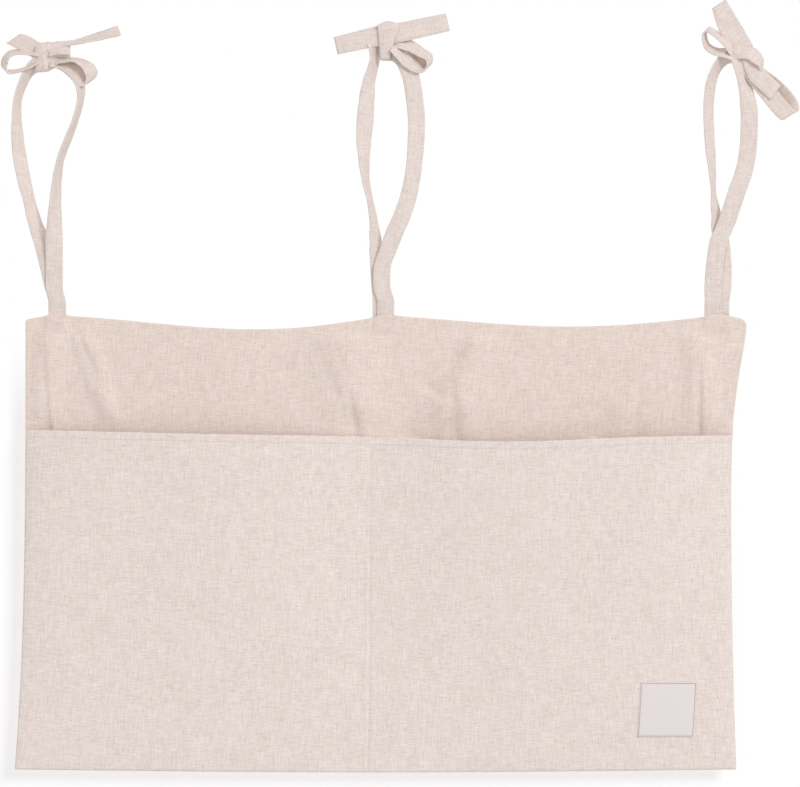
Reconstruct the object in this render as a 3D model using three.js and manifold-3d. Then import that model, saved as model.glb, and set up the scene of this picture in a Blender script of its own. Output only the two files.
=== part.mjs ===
// Two-pocket fabric organizer, hung from three pairs of tie tapes, each pair knotted into a bow.
// Millimetres, +Z up, +X to the viewer's right, the pockets face -Y.
// The origin is the bearing point: the underside of the middle knot, where the loop rests on its rail.
import * as THREE from 'three';
import { mergeVertices } from 'three/addons/utils/BufferGeometryUtils.js';
import Module from 'manifold-3d';

const wasm = await Module();
wasm.setup();

// Driving dimensions: the panel
const PANEL_WIDTH = 500;
const PANEL_HEIGHT = 314; // from the tie seam to the bottom seam
const CLOTH_THICKNESS = 0.8;
const CLEARANCE = 0.3; // between cloths that lie on each other
const LEFT_SAG = 9.4; // of the top edge between the left and the middle tie
const RIGHT_SAG = 7.5; // of the top edge between the middle and the right tie
const LEFT_SAG_SKEW = 1.36; // 1 is lowest halfway, more is lowest nearer to the right-hand tie
const RIGHT_SAG_SKEW = 1.2;
const SAG_FULLNESS = 1.06; // power of the sag's sine: higher is narrower
const CORNER_DROP = 3; // of the top edge, from a tie out to the corner
const LEFT_CORNER_RADIUS = 1.5;
const RIGHT_CORNER_RADIUS = 5;
const BOTTOM_SAG = 2;
const BOTTOM_LEAN = 7.5; // sideways drift of the bottom seam
const RIGHT_DRAW = 11.4; // how far the right edge is drawn in below its corner
const RIGHT_DRAW_REACH = 52; // height over which that happens
const RIGHT_DRAW_ONSET = 1.7; // powers: a higher one starts its curve later down the edge
const RIGHT_RETURN_CURVE = 3.2;
const LEFT_LEAN_CURVE = 3.5;
const FOLD_DEPTH = 3; // of the soft folds above the pocket mouth

// Driving dimensions: the pocket
const MOUTH_DROP = 80.4; // from the tie seam down to the pocket mouth at the sides
const MOUTH_BOW = 2.6; // how much lower the mouth hangs in the middle
const MOUTH_LEAN = 1.9; // how much lower its right end is, and higher its left end
const MOUTH_DIP = 3.3; // a shallow dip in the right pocket's mouth
const MOUTH_DIP_X = 90;
const MOUTH_DIP_REACH = 75;
const POCKET_GAPE = 12; // how far each pocket stands open at its mouth
const POCKET_ROUNDNESS = 0.6; // 1 is a plain sine across a pocket, less is fuller
const POCKET_BELLY = 0.8; // 1 closes in a straight line down to the seam, less is fuller
const HEM_HEIGHT = 8; // of the turned hem behind the mouth
const HEM_STITCH_DROP = 5; // of the stitching row below the mouth
const CENTRE_SEAM_SHIFT = -5; // of the seam between the pockets, from the panel's centre line

// Driving dimensions: the label and the thread
const LABEL_WIDTH = 39;
const LABEL_HEIGHT = 38;
const LABEL_THICKNESS = 0.5;
const LABEL_FROM_SIDE = 48.3; // its middle, in from the right edge
const LABEL_FROM_BOTTOM = 41.7; // its middle, up from the bottom seam
const LABEL_LEAN = 2.2; // of its upper edge to the right, against its lower edge
const LABEL_STITCH_INSET = 0.8;
const THREAD_WIDTH = 0.6;
const THREAD_HEIGHT = 0.4;

// Driving dimensions: the ties
const TAPE_WIDTH = 12;
const TAPE_THICKNESS = 1.4;
const TIE_INSET = 22; // of the outer ties, in from the panel's side
const TIE_HEIGHT = 177.3; // from the seam to the bearing point
const KNOT_BAND_WIDTH = 11; // of the tape drawn round a knot
const KNOT_CORE_HEIGHT = 11; // of the tape gathered inside a knot
const LEFT_KNOT_LENGTH = 18.4; // of each knot, along the tape that it goes round
const MIDDLE_KNOT_LENGTH = 26.4;
const RIGHT_KNOT_LENGTH = 24;
const MIDDLE_FRONT_ROOT = -0.5; // where single tapes are sewn in, beside the middle of their pair's place
const MIDDLE_REAR_ROOT = -3.5;
const RIGHT_FRONT_ROOT = -1.7;
const RIGHT_REAR_ROOT = 3.7;
const TAPE_STEP = 6.5; // length of one step along a tape

// Derived sizes
const LAYER = TAPE_THICKNESS + CLEARANCE; // pitch of tapes that lie on each other
const ROOT_RADIUS = TAPE_THICKNESS + CLEARANCE / 2; // round lower end of a pair of tapes
const PANEL_DROP = ROOT_RADIUS + CLEARANCE; // the panel starts this far below the seam axis
const HALF = PANEL_WIDTH / 2;
const SEAM_Z = -TIE_HEIGHT;
const TIE_X = HALF - TIE_INSET;
const HANG = POCKET_GAPE / 6; // sets the panel back, so that its weight hangs below the seam axis

// Soft folds above the mouth: share of the fold depth, place on the seam, drift down to the mouth, half width
const FOLD_OUTSIDE_TIE = 2; // of the outermost fold, from the left tie
const FOLD_INSIDE_TIE = 14; // of the folds inside the outer ties, from those ties
const FOLD_BESIDE_MIDDLE = 18; // of the fold left of the middle tie
const FOLDS = [
  { share: 0.7, x: -TIE_X - FOLD_OUTSIDE_TIE, drift: -8, reach: 14 },
  { share: 0.8, x: -TIE_X + FOLD_INSIDE_TIE, drift: 26, reach: 12 },
  { share: 0.9, x: -FOLD_BESIDE_MIDDLE, drift: 4, reach: 20 },
  { share: 0.8, x: TIE_X * 0.32, drift: -44, reach: 22 },
  { share: 0.7, x: TIE_X - FOLD_INSIDE_TIE, drift: 6, reach: 16 },
];
const MOUTH_FADE = 0.4; // share of the mouth's drop over which the folds die out

const smooth = (t) => {
  const s = Math.min(1, Math.max(0, t));
  return s * s * (3 - 2 * s);
};
const bump = (t) => 1 - smooth(Math.abs(t));

// Outline of the panel: u runs across from 0 to 1, v down from 0 to 1

const leftEdge = (v) => -HALF - BOTTOM_LEAN * v ** LEFT_LEAN_CURVE;

const rightEdge = (v) => {
  const drawn = RIGHT_DRAW * (1 - Math.exp(-(((v * PANEL_HEIGHT) / RIGHT_DRAW_REACH) ** RIGHT_DRAW_ONSET)));
  return HALF - drawn + (RIGHT_DRAW - BOTTOM_LEAN) * v ** RIGHT_RETURN_CURVE;
};

const topEdge = (x) => {
  const out = Math.abs(x) - TIE_X;
  if (out < 0) {
    const [sag, skew] = x < 0 ? [LEFT_SAG, LEFT_SAG_SKEW] : [RIGHT_SAG, RIGHT_SAG_SKEW];
    const along = x < 0 ? (x + TIE_X) / TIE_X : x / TIE_X;
    return -sag * Math.sin(Math.PI * along ** skew) ** SAG_FULLNESS;
  }
  const radius = x < 0 ? LEFT_CORNER_RADIUS : RIGHT_CORNER_RADIUS;
  const inset = Math.max(0, radius - (HALF - Math.abs(x)));
  const corner = radius - Math.sqrt(Math.max(0, radius ** 2 - inset ** 2));
  return -CORNER_DROP * (out / TIE_INSET) ** 2 - corner;
};

const bottomEdge = (x) => -PANEL_HEIGHT - BOTTOM_SAG * Math.cos((Math.PI * x) / PANEL_WIDTH);

const mouthEdge = (x) => {
  const bow = MOUTH_BOW * Math.cos((Math.PI * x) / PANEL_WIDTH);
  const dip = MOUTH_DIP * Math.exp(-(((x - MOUTH_DIP_X) / MOUTH_DIP_REACH) ** 2));
  return -MOUTH_DROP - (MOUTH_LEAN * x) / HALF - bow - dip;
};

// Depth below the seam as a share of the panel's height
const share = (z) => Math.min(1, Math.max(0, -z / PANEL_HEIGHT));

// A point of the outline grid, in the panel's own plane
function panelPoint(u, top, bottom, v) {
  const x0 = -HALF + PANEL_WIDTH * u;
  const z = top(x0) + (bottom(x0) - top(x0)) * v;
  const s = share(z);
  return new THREE.Vector2(leftEdge(s) + (rightEdge(s) - leftEdge(s)) * u, z);
}

// Soft folds of the hanging panel, towards the viewer; none below the pocket mouth's hem
function foldDepth(x, z) {
  const fade = smooth((-z - LEFT_SAG) / LEFT_SAG) * smooth((MOUTH_DROP + z) / (MOUTH_DROP * MOUTH_FADE));
  const down = -z / MOUTH_DROP;
  const total = FOLDS.reduce((sum, f) => sum + f.share * bump((x - f.x - f.drift * down) / f.reach), 0);
  return FOLD_DEPTH * fade * Math.min(1, total);
}

// How far the pocket stands off the panel, in front of its seams
function gape(u, v) {
  const x0 = -HALF + PANEL_WIDTH * u;
  const left = x0 < CENTRE_SEAM_SHIFT;
  const width = left ? HALF + CENTRE_SEAM_SHIFT : HALF - CENTRE_SEAM_SHIFT;
  const s = left ? (x0 + HALF) / width : (x0 - CENTRE_SEAM_SHIFT) / width;
  const across = Math.sin(Math.PI * Math.min(1, Math.max(0, s))) ** POCKET_ROUNDNESS;
  return POCKET_GAPE * across * (1 - v) ** POCKET_BELLY;
}

// Closed meshes

function toGeometry(points, triangles) {
  const geometry = new THREE.BufferGeometry();
  const flat = points.flatMap((p) => [p.x, p.y, p.z]);
  geometry.setAttribute('position', new THREE.Float32BufferAttribute(flat, 3));
  geometry.setIndex(triangles);
  geometry.computeVertexNormals();
  return geometry;
}

// A cloth: front and back are functions of (u, v), joined round the rim
function clothGeometry(us, vs, front, back) {
  const points = [];
  for (const side of [front, back]) {
    for (const v of vs) {
      for (const u of us) points.push(side(u, v));
    }
  }
  const columns = us.length;
  const rows = vs.length;
  const at = (side, row, column) => side * columns * rows + row * columns + column;
  const triangles = [];
  const quad = (a, b, c, d) => triangles.push(a, b, c, a, c, d);
  for (let r = 0; r + 1 < rows; r++) {
    for (let c = 0; c + 1 < columns; c++) {
      quad(at(0, r, c), at(0, r + 1, c), at(0, r + 1, c + 1), at(0, r, c + 1));
      quad(at(1, r, c), at(1, r, c + 1), at(1, r + 1, c + 1), at(1, r + 1, c));
    }
  }
  for (let c = 0; c + 1 < columns; c++) {
    quad(at(0, 0, c), at(0, 0, c + 1), at(1, 0, c + 1), at(1, 0, c));
    quad(at(0, rows - 1, c + 1), at(0, rows - 1, c), at(1, rows - 1, c), at(1, rows - 1, c + 1));
  }
  for (let r = 0; r + 1 < rows; r++) {
    quad(at(0, r + 1, 0), at(0, r, 0), at(1, r, 0), at(1, r + 1, 0));
    quad(at(0, r, columns - 1), at(0, r + 1, columns - 1), at(1, r + 1, columns - 1), at(1, r, columns - 1));
  }
  return toGeometry(points, triangles);
}

// A band of rectangular section swept along frames of {centre, across, normal}
function bandGeometry(frames, width, thickness, closed = false) {
  const corners = [[-1, -1], [1, -1], [1, 1], [-1, 1]];
  const points = frames.flatMap((f) =>
    corners.map(([a, b]) =>
      f.centre
        .clone()
        .addScaledVector(f.across, (a * width) / 2)
        .addScaledVector(f.normal, (b * thickness) / 2),
    ),
  );
  const triangles = [];
  const rings = frames.length;
  for (let i = 0; i < (closed ? rings : rings - 1); i++) {
    for (let k = 0; k < 4; k++) {
      const a = i * 4 + k;
      const b = i * 4 + ((k + 1) % 4);
      const c = ((i + 1) % rings) * 4 + ((k + 1) % 4);
      const d = ((i + 1) % rings) * 4 + k;
      triangles.push(a, b, c, a, c, d);
    }
  }
  if (!closed) {
    const last = (rings - 1) * 4;
    triangles.push(0, 2, 1, 0, 3, 2, last, last + 1, last + 2, last, last + 2, last + 3);
  }
  return toGeometry(points, triangles);
}

function toManifold(geometry) {
  const bare = geometry.clone();
  bare.deleteAttribute('normal');
  bare.deleteAttribute('uv');
  const merged = mergeVertices(bare, 1e-4);
  const mesh = new wasm.Mesh({
    numProp: 3,
    vertProperties: merged.attributes.position.array,
    triVerts: Uint32Array.from(merged.index.array),
  });
  return new wasm.Manifold(mesh);
}

function joined(geometries) {
  const solid = geometries.map(toManifold).reduce((all, next) => all.add(next));
  const mesh = solid.getMesh();
  const geometry = new THREE.BufferGeometry();
  geometry.setAttribute('position', new THREE.BufferAttribute(Float32Array.from(mesh.vertProperties), 3));
  geometry.setIndex([...mesh.triVerts]);
  geometry.computeVertexNormals();
  return geometry;
}

// Cloths of the panel

const evenly = (n) => Array.from({ length: n + 1 }, (_, i) => i / n);

// Columns: even ones, with more in the rounded corners
function columns(n) {
  const near = [0.15, 0.5, 1].map((r) => (r * RIGHT_CORNER_RADIUS) / PANEL_WIDTH);
  const inner = evenly(n).slice(1, -1);
  return [0, ...near, ...inner, ...near.map((r) => 1 - r).reverse(), 1];
}

const panelTop = (x) => Math.min(topEdge(x), -PANEL_DROP);
const FACE_Y = HANG - CLEARANCE / 2; // back of the front cloth
const REAR_Y = HANG + CLEARANCE / 2; // front of the rear cloth

function panelCloth(y, us, vs) {
  const place = (offset) => (u, v) => {
    const p = panelPoint(u, panelTop, bottomEdge, v);
    return new THREE.Vector3(p.x, y + offset - foldDepth(p.x, p.y), p.y);
  };
  return clothGeometry(us, vs, place(-CLOTH_THICKNESS / 2), place(CLOTH_THICKNESS / 2));
}

const POCKET_BACK_Y = FACE_Y - CLOTH_THICKNESS - CLEARANCE;
const SEAM_U = (CENTRE_SEAM_SHIFT + HALF) / PANEL_WIDTH; // of the seam between the pockets
const HEM_V = HEM_HEIGHT / (PANEL_HEIGHT - MOUTH_DROP);

// Columns of one pocket from u0 to u1, closer together beside its seams
const LOBE = [0, 0.008, 0.03, ...evenly(15).slice(1, -1), 0.97, 0.992];
const lobe = (u0, u1) => LOBE.map((t) => u0 + (u1 - u0) * t);
const POCKET_COLUMNS = [...lobe(0, SEAM_U), ...lobe(SEAM_U, 1), 1];
const POCKET_ROWS = [0, HEM_V, HEM_V * 1.1, ...evenly(10).slice(2, -1), 0.97, 1];

// The gape between the pocket's columns and rows, where its cloth runs straight
function facetedGape(u, v) {
  const cell = (list, t) => Math.max(0, Math.min(list.length - 2, list.findIndex((edge) => edge > t) - 1));
  const i = cell(POCKET_COLUMNS, Math.min(u, 0.9999));
  const j = cell(POCKET_ROWS, Math.min(v, 0.9999));
  const [u0, u1] = [POCKET_COLUMNS[i], POCKET_COLUMNS[i + 1]];
  const [v0, v1] = [POCKET_ROWS[j], POCKET_ROWS[j + 1]];
  const a = (u - u0) / (u1 - u0);
  const b = (v - v0) / (v1 - v0);
  const row = (vj) => gape(u0, vj) * (1 - a) + gape(u1, vj) * a;
  return row(v0) * (1 - b) + row(v1) * b;
}

const pocketPoint = (u, v, offset) => {
  const p = panelPoint(u, mouthEdge, bottomEdge, v);
  return new THREE.Vector3(p.x, POCKET_BACK_Y - facetedGape(u, v) - offset, p.y);
};

function pocketCloth() {
  const back = (u, v) => pocketPoint(u, v, v <= HEM_V ? -Math.min(CLOTH_THICKNESS, gape(u, v)) : 0);
  const front = (u, v) => pocketPoint(u, v, CLOTH_THICKNESS);
  return clothGeometry(POCKET_COLUMNS, POCKET_ROWS, front, back);
}

// A place on the pocket's front, from millimetres right of the middle and up from the bottom seam
function onPocket(x, z, lift) {
  const s = share(z);
  const u = (x - leftEdge(s)) / (rightEdge(s) - leftEdge(s));
  const x0 = -HALF + PANEL_WIDTH * u;
  const v = (mouthEdge(x0) - z) / (mouthEdge(x0) - bottomEdge(x0));
  return pocketPoint(u, v, CLOTH_THICKNESS + CLEARANCE + lift);
}

const LABEL_X = HALF - BOTTOM_LEAN - LABEL_FROM_SIDE;
const LABEL_Z = -PANEL_HEIGHT + LABEL_FROM_BOTTOM;

// A place on the label, from millimetres right of its middle and up from it
const onLabel = (x, z) => ({ x: LABEL_X + x + (LABEL_LEAN * z) / LABEL_HEIGHT, z: LABEL_Z + z });

function label() {
  const place = (lift) => (u, v) => {
    const p = onLabel(LABEL_WIDTH * (u - 0.5), LABEL_HEIGHT * (0.5 - v));
    return onPocket(p.x, p.z, lift);
  };
  return clothGeometry(evenly(6), evenly(6), place(LABEL_THICKNESS), place(0));
}

// A thread laid on the pocket's front along points of {x, z}
function thread(places, lift, closed = false) {
  const centres = places.map((p) => onPocket(p.x, p.z, lift + THREAD_HEIGHT / 2));
  const frames = centres.map((centre, i) => {
    const n = centres.length;
    const before = closed ? centres[(i + n - 1) % n] : centres[Math.max(0, i - 1)];
    const after = closed ? centres[(i + 1) % n] : centres[Math.min(n - 1, i + 1)];
    const along = after.clone().sub(before).normalize();
    const across = new THREE.Vector3(0, -1, 0).cross(along).normalize();
    return { centre, across, normal: along.clone().cross(across) };
  });
  return bandGeometry(frames, THREAD_WIDTH, THREAD_HEIGHT, closed);
}

function hemStitching() {
  const at = (u) => {
    const z = mouthEdge(-HALF + PANEL_WIDTH * u) - HEM_STITCH_DROP;
    const s = share(z);
    return { x: leftEdge(s) + (rightEdge(s) - leftEdge(s)) * u, z };
  };
  const ends = HEM_STITCH_DROP / PANEL_WIDTH;
  const inner = POCKET_COLUMNS.filter((u) => u > ends && u < 1 - ends);
  return thread([ends, ...inner, 1 - ends].map(at), 0);
}

function centreStitching() {
  const top = mouthEdge(CENTRE_SEAM_SHIFT) - 2 * HEM_STITCH_DROP;
  const bottom = bottomEdge(CENTRE_SEAM_SHIFT) + HEM_STITCH_DROP;
  const at = (t) => {
    const z = top + (bottom - top) * t;
    const s = share(z);
    return { x: leftEdge(s) + (rightEdge(s) - leftEdge(s)) * SEAM_U, z };
  };
  return thread(evenly(16).map(at), 0);
}

function labelStitching() {
  const w = LABEL_WIDTH / 2 - LABEL_STITCH_INSET;
  const h = LABEL_HEIGHT / 2 - LABEL_STITCH_INSET;
  const corners = [[-w, -h], [w, -h], [w, h], [-w, h]];
  const perSide = 5;
  const places = corners.flatMap(([x, z], i) => {
    const [nextX, nextZ] = corners[(i + 1) % 4];
    const step = (t) => onLabel(x + (nextX - x) * t, z + (nextZ - z) * t);
    return evenly(perSide).slice(0, -1).map(step);
  });
  return thread(places, LABEL_THICKNESS + CLEARANCE, true);
}

// Tapes. A route's points are [x, layer, z, turn, tilt], and a knot's place is one such point. x and z count
// route units from the tie's root on the seam axis, and layer counts tapes that lie on each other towards the
// rear. Turn is the direction of the tape's width in the front view, in degrees from +X, and tilt is how far
// its width turns towards the rear.

const ROUTE_UNIT = 1;
const ROUTE_HEIGHT = 177.3; // bearing height that the routes were laid out for
const BOW_START = 150; // above this a route moves with the bow, below it stretches

const routeAcross = (x) => x * ROUTE_UNIT;

function routeHeight(z) {
  const laid = z * ROUTE_UNIT;
  const growth = TIE_HEIGHT - ROUTE_HEIGHT;
  return laid < BOW_START ? (laid * (BOW_START + growth)) / BOW_START : laid + growth;
}

function tapeFrames(route) {
  const place = ([x, layer, z]) => new THREE.Vector3(routeAcross(x), layer * LAYER, routeHeight(z));
  const points = route.map(place);
  const curve = new THREE.CatmullRomCurve3(points, false, 'centripetal');
  const spans = points.length - 1;
  const directions = route.map(([, , , turn, tilt]) => {
    const a = THREE.MathUtils.degToRad(turn);
    const b = THREE.MathUtils.degToRad(tilt);
    return new THREE.Vector3(Math.cos(a) * Math.cos(b), Math.sin(b), Math.sin(a) * Math.cos(b));
  });
  const frames = [];
  for (let i = 0; i < spans; i++) {
    const steps = Math.max(1, Math.round(points[i].distanceTo(points[i + 1]) / TAPE_STEP));
    for (let j = 0; j < steps + (i === spans - 1 ? 1 : 0); j++) {
      const t = j / steps;
      const at = (i + t) / spans;
      const along = curve.getTangent(at);
      const across = directions[i].clone().lerp(directions[i + 1], smooth(t)).normalize();
      const normal = along.cross(across).normalize();
      frames.push({ centre: curve.getPoint(at), across, normal });
    }
  }
  return frames;
}

const tapeRun = (route, width = TAPE_WIDTH) => bandGeometry(tapeFrames(route), width, TAPE_THICKNESS);

// The quarter-round lower end of one tape of a pair, on the side away from the other tape
function tapeRoot(side, x) {
  const inner = CLEARANCE / 2;
  const start = Math.acos(inner / ROOT_RADIUS);
  const shape = new THREE.Shape();
  shape.moveTo(inner, TAPE_THICKNESS);
  for (let i = 0; i <= 5; i++) {
    const a = -start * (1 - i / 5);
    shape.lineTo(ROOT_RADIUS * Math.cos(a), ROOT_RADIUS * Math.sin(a));
  }
  shape.lineTo(ROOT_RADIUS, TAPE_THICKNESS);
  const geometry = new THREE.ExtrudeGeometry(shape, { depth: TAPE_WIDTH, bevelEnabled: false });
  geometry.translate(0, 0, -TAPE_WIDTH / 2);
  geometry.rotateX(Math.PI / 2);
  geometry.rotateZ((side * Math.PI) / 2);
  geometry.translate(x, 0, 0);
  return geometry;
}

// A flat ring of tape round a knot: its bore lets one tape through
function knotRing(length, [x, , z, turn]) {
  const outline = (radius) => {
    const reach = length / 2 - LAYER - TAPE_THICKNESS / 2;
    const path = new THREE.Shape();
    for (const end of [1, -1]) {
      for (let i = 0; i <= 4; i++) {
        const a = (end > 0 ? 0 : Math.PI) + (Math.PI * i) / 4;
        const p = [radius * Math.cos(a), end * reach + radius * Math.sin(a)];
        if (end > 0 && i === 0) path.moveTo(...p);
        else path.lineTo(...p);
      }
    }
    return path;
  };
  const shape = outline(LAYER + TAPE_THICKNESS / 2);
  shape.holes.push(outline(LAYER - TAPE_THICKNESS / 2));
  const geometry = new THREE.ExtrudeGeometry(shape, { depth: KNOT_BAND_WIDTH, bevelEnabled: false });
  geometry.translate(0, 0, -KNOT_BAND_WIDTH / 2);
  geometry.rotateX(Math.PI / 2);
  geometry.rotateZ(Math.PI / 2);
  geometry.rotateY(THREE.MathUtils.degToRad(-turn));
  geometry.translate(routeAcross(x), 0, routeHeight(z));
  return geometry;
}

const LEFT_FRONT = {
  knot: [-8.8, 0, 180, -8, 0],
  run: [
    [0, -0.5, 0, 0, 0], [-1.4, -0.5, 16, 0, 0], [-1.7, -0.65, 37.5, 0, 0], [-1.8, -0.95, 52.5, 0, 8],
    [-1.5, -1.2, 66.5, 0, 43], [-0.9, -1.2, 80.3, 0, 58], [0.2, -1.2, 94.2, 0, 68], [2.6, -1.2, 108, 0, 75],
    [7.8, -1.2, 121.9, 0, 75], [12.4, -1.2, 136.5, 0, 74], [16.4, -1.2, 150.5, 5, 70],
    [16.5, -1.2, 158.5, 15, 64], [13, -1.2, 165.5, 35, 62], [7.5, -1.1, 170.5, 60, 45],
    [1, -1, 174, 75, 15], [-4.5, -1, 175.5, 85, 0],
  ],
  tail: [
    [-5.5, -1.1, 183, 92, 0], [2, -1.3, 183, 95, 10], [8, -1.3, 184.5, 98, 25], [11, -1.3, 188.5, 104, 62],
    [18.5, -1.2, 190.8, 106, 68], [30, -1.1, 194.3, 106, 64], [42.6, -1, 197.9, 112, 54],
  ],
  loop: [
    [-5, -1, 178.5, 90, 0], [5, -1.6, 177.5, 88, -40], [13, -2, 176, 70, -42], [19.5, -2.3, 172.5, 38, -35],
    [22, -2.3, 167.5, 0, -32], [18.5, -2, 164, -50, -40], [13.5, -1.5, 166, -115, -50],
    [8.5, -1.2, 170, -125, -40], [2, -1.1, 173.5, -110, -20], [-4, -1, 176, -100, 0],
  ],
};

const LEFT_REAR = {
  run: [
    [0, 0.5, 0, 0, 0], [-2.2, 0.5, 18, 0, 0], [-7.2, 0.6, 39, 0, 5], [-11, 0.9, 52.6, 0, 18],
    [-15.9, 0.9, 66.5, 0, 44], [-19.5, 0.9, 80.3, 0, 54], [-22.3, 0.9, 91, 0, 46], [-25.6, 0.9, 108, 0, 44],
    [-27.4, 0.9, 124, 0, 54], [-28, 0.9, 138, 0, 67], [-27.4, 0.9, 149.6, -3, 73],
    [-25.6, 0.9, 156.5, -14, 72], [-22.8, 0.9, 163.6, -28, 69], [-20.3, 0.8, 168.5, -42, 60],
    [-18.5, 0.5, 174, -50, 42],
  ],
  core: [[-18.5, 0, 179.5, 90, 0], [-5.5, 0, 180.5, 90, 0]],
  loop: [
    [-16.5, 0, 181.2, 90, 50], [-22, 0.1, 182.3, 92, 66], [-30, 0.2, 182.5, 96, 70],
    [-34.6, 0.3, 181, 122, 68], [-37, 0.3, 176.5, 165, 62], [-36.8, 0.3, 171.8, 200, 60],
    [-33.8, 0.3, 169.4, 240, 66], [-28.5, 0.25, 170.2, 285, 73], [-22.5, 0.15, 173.5, 298, 70],
    [-17, 0, 176.8, 300, 50],
  ],
  tail: [[-15.4, 0.45, 185.2, 86, 0], [-21, 0.9, 188.5, 64, 0], [-29.2, 0.9, 192.7, 34, 0]],
};

const MIDDLE_FRONT = {
  knot: [2, 0, 190.5, 0, 0],
  run: [
    [-0.5, -0.5, 0, 0, 0], [-2.2, -0.5, 11, 0, 0], [-3.3, -0.5, 25, 0, 0], [-2.5, -0.65, 35, 0, 0],
    [1.2, -0.85, 45.5, -8, 0], [5.8, -1.1, 58, -20, 5], [10, -1.2, 67, -22, 8], [14.6, -1.2, 80, -14, 16],
    [17.6, -1.2, 93, -6, 24], [19.5, -1.2, 107, -3, 24], [20.7, -1.2, 124, 0, 14], [20.8, -1.2, 138, 3, 5],
    [19.6, -1.2, 149.6, 6, 0], [17, -1.1, 166, 12, 3], [13.5, -0.2, 174.5, 18, 5], [8, 0.5, 181.5, 40, 0],
  ],
  loop: [
    [4.5, -1.1, 186.5, 60, -5], [15, -1.9, 178.5, 54, -30], [22.5, -1.9, 173.5, 54, -35],
    [28, -0.8, 173, 54, -35], [29.5, 0.4, 176, 56, -30], [25, 1.2, 181, 60, -20], [17, 1.3, 184.5, 66, -8],
    [10, 1.2, 186.5, 75, 0], [4, 1.1, 187, 85, 0],
  ],
};

const MIDDLE_REAR = {
  run: [
    [-3.5, 0.5, 0, 0, 0], [-4.1, 0.5, 13, 0, 0], [-4.8, 0.55, 27, 0, 0], [-5.5, 0.75, 41, 0, 14],
    [-7.4, 1.05, 53, 0, 50], [-8.9, 1.1, 66.5, 0, 66], [-11.4, 1.1, 80.3, 0, 73], [-14.4, 1.1, 94.2, 0, 67],
    [-15.4, 1.1, 108, 0, 53], [-15.5, 1.1, 121.9, 0, 31], [-14.7, 1.1, 135.7, -2, 13],
    [-13.5, 1.1, 149.6, -6, 28], [-11.8, 1.1, 163.4, -9, 48], [-10.5, 1.35, 171, -12, 56],
    [-9.3, 1.5, 178, -12, 55], [-9.6, 1.4, 184, -8, 35], [-10.5, 0.7, 190, -8, 10],
  ],
  band: [[-35, 0, 187, 103, 0], [-5.5, 0, 192.9, 101, 0], [8, 0, 195.3, 102, 0], [43, 0, 203.5, 103, 0]],
};

const RIGHT_FRONT = {
  knot: [20.3, 0, 181, 90, 0],
  run: [
    [-1.7, -0.5, 0, 0, 0], [-2, -0.5, 10, 0, 0], [-1.5, -0.5, 25, 0, 0], [-0.4, -0.7, 39, 0, 0],
    [2, -1, 52.6, -8, 0], [5.2, -1.1, 59.6, -16, 0], [9, -1.2, 70, -20, 0], [14.4, -1.2, 87, -18, 0],
    [19, -1.2, 100, -12, 4], [21.6, -1.2, 114, -4, 4], [22.6, -1.2, 130, 0, 2], [22.4, -1.2, 143, 4, 0],
    [20.6, -1.25, 155, 10, 0], [18.4, -1.2, 163, 13, 0], [16.8, -1.2, 170.5, 15, 0],
    [15.5, -1.05, 177.5, 15, 0],
  ],
  eye: [
    [9.5, -1.05, 183.5, 56, 0], [6, -1.3, 187, 50, -20], [3, -0.9, 190.5, 48, -45],
    [-1.5, -0.3, 196, 60, -60], [-6, 0, 197.5, 120, -60], [-8, 0, 192.5, 180, -60],
    [-6, 0, 186.5, 225, -60], [-0.5, -0.2, 183, 262, -50], [5, -0.8, 182.5, 272, -15],
    [11.5, -1, 182, 275, 0],
  ],
  loop: [
    [18.5, 1, 180, 62, 0], [26, 1.2, 179.5, 52, 0], [33, 1.3, 173, 42, 0], [42.5, 1.4, 163, 38, 0],
    [51.2, 1.3, 150.5, 37, 0], [54.3, 0.3, 142.5, 37, 0], [51, -0.9, 140, 37, 0],
    [44.5, -1.2, 144.3, 37, 0], [37.2, -1.2, 153.5, 37, 0], [30, -1.2, 163, 38, 0],
    [23.5, -1.1, 172.5, 40, 0], [18.5, -1, 178.5, 40, 0],
  ],
  tail: [
    [18.5, -1.1, 180, 55, 0], [25.5, -2.1, 174, 50, 0], [33, -2.3, 165, 50, 0], [42, -2.3, 154.5, 59.6, 0],
  ],
};

const RIGHT_REAR = {
  run: [
    [3.7, 0.5, 0, 0, 0], [5, 0.5, 20, 0, 0], [4.9, 0.7, 42, 0, 0], [3, 1.2, 58, 0, 18],
    [0.4, 1.2, 72, 0, 54], [-1.4, 1, 87, 0, 72], [-2.2, 1, 101, 0, 66], [-3.4, 1, 115, 0, 60],
    [-4.5, 1, 129, 0, 60], [-4.8, 1, 142, 0, 60], [-4.4, 1, 154, -4, 55], [-3.2, 1, 160.5, -15, 50],
    [0.6, 0.9, 167.2, -42, 38], [6.5, 0.7, 169.6, -56, 12], [12.5, 0.4, 169.5, -62, 0],
  ],
  tail: [
    [17.5, 0.1, 166, 0, 0], [17.6, 0, 177, 0, 0], [17.6, 0, 185, 2, 0], [16.4, 0.1, 189.5, 10, 0],
    [13.2, 0.5, 195, 20, 0], [9.5, 0.7, 202, 26, 0], [3, 0.8, 215, 34.9, 0],
  ],
};

function leftFront() {
  return joined([
    tapeRoot(-1, 0),
    tapeRun(LEFT_FRONT.run),
    knotRing(LEFT_KNOT_LENGTH, LEFT_FRONT.knot),
    tapeRun(LEFT_FRONT.tail),
    tapeRun(LEFT_FRONT.loop),
  ]);
}

function leftRear() {
  return joined([
    tapeRoot(1, 0),
    tapeRun(LEFT_REAR.run),
    tapeRun(LEFT_REAR.core, KNOT_CORE_HEIGHT),
    tapeRun(LEFT_REAR.loop),
    tapeRun(LEFT_REAR.tail),
  ]);
}

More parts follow.
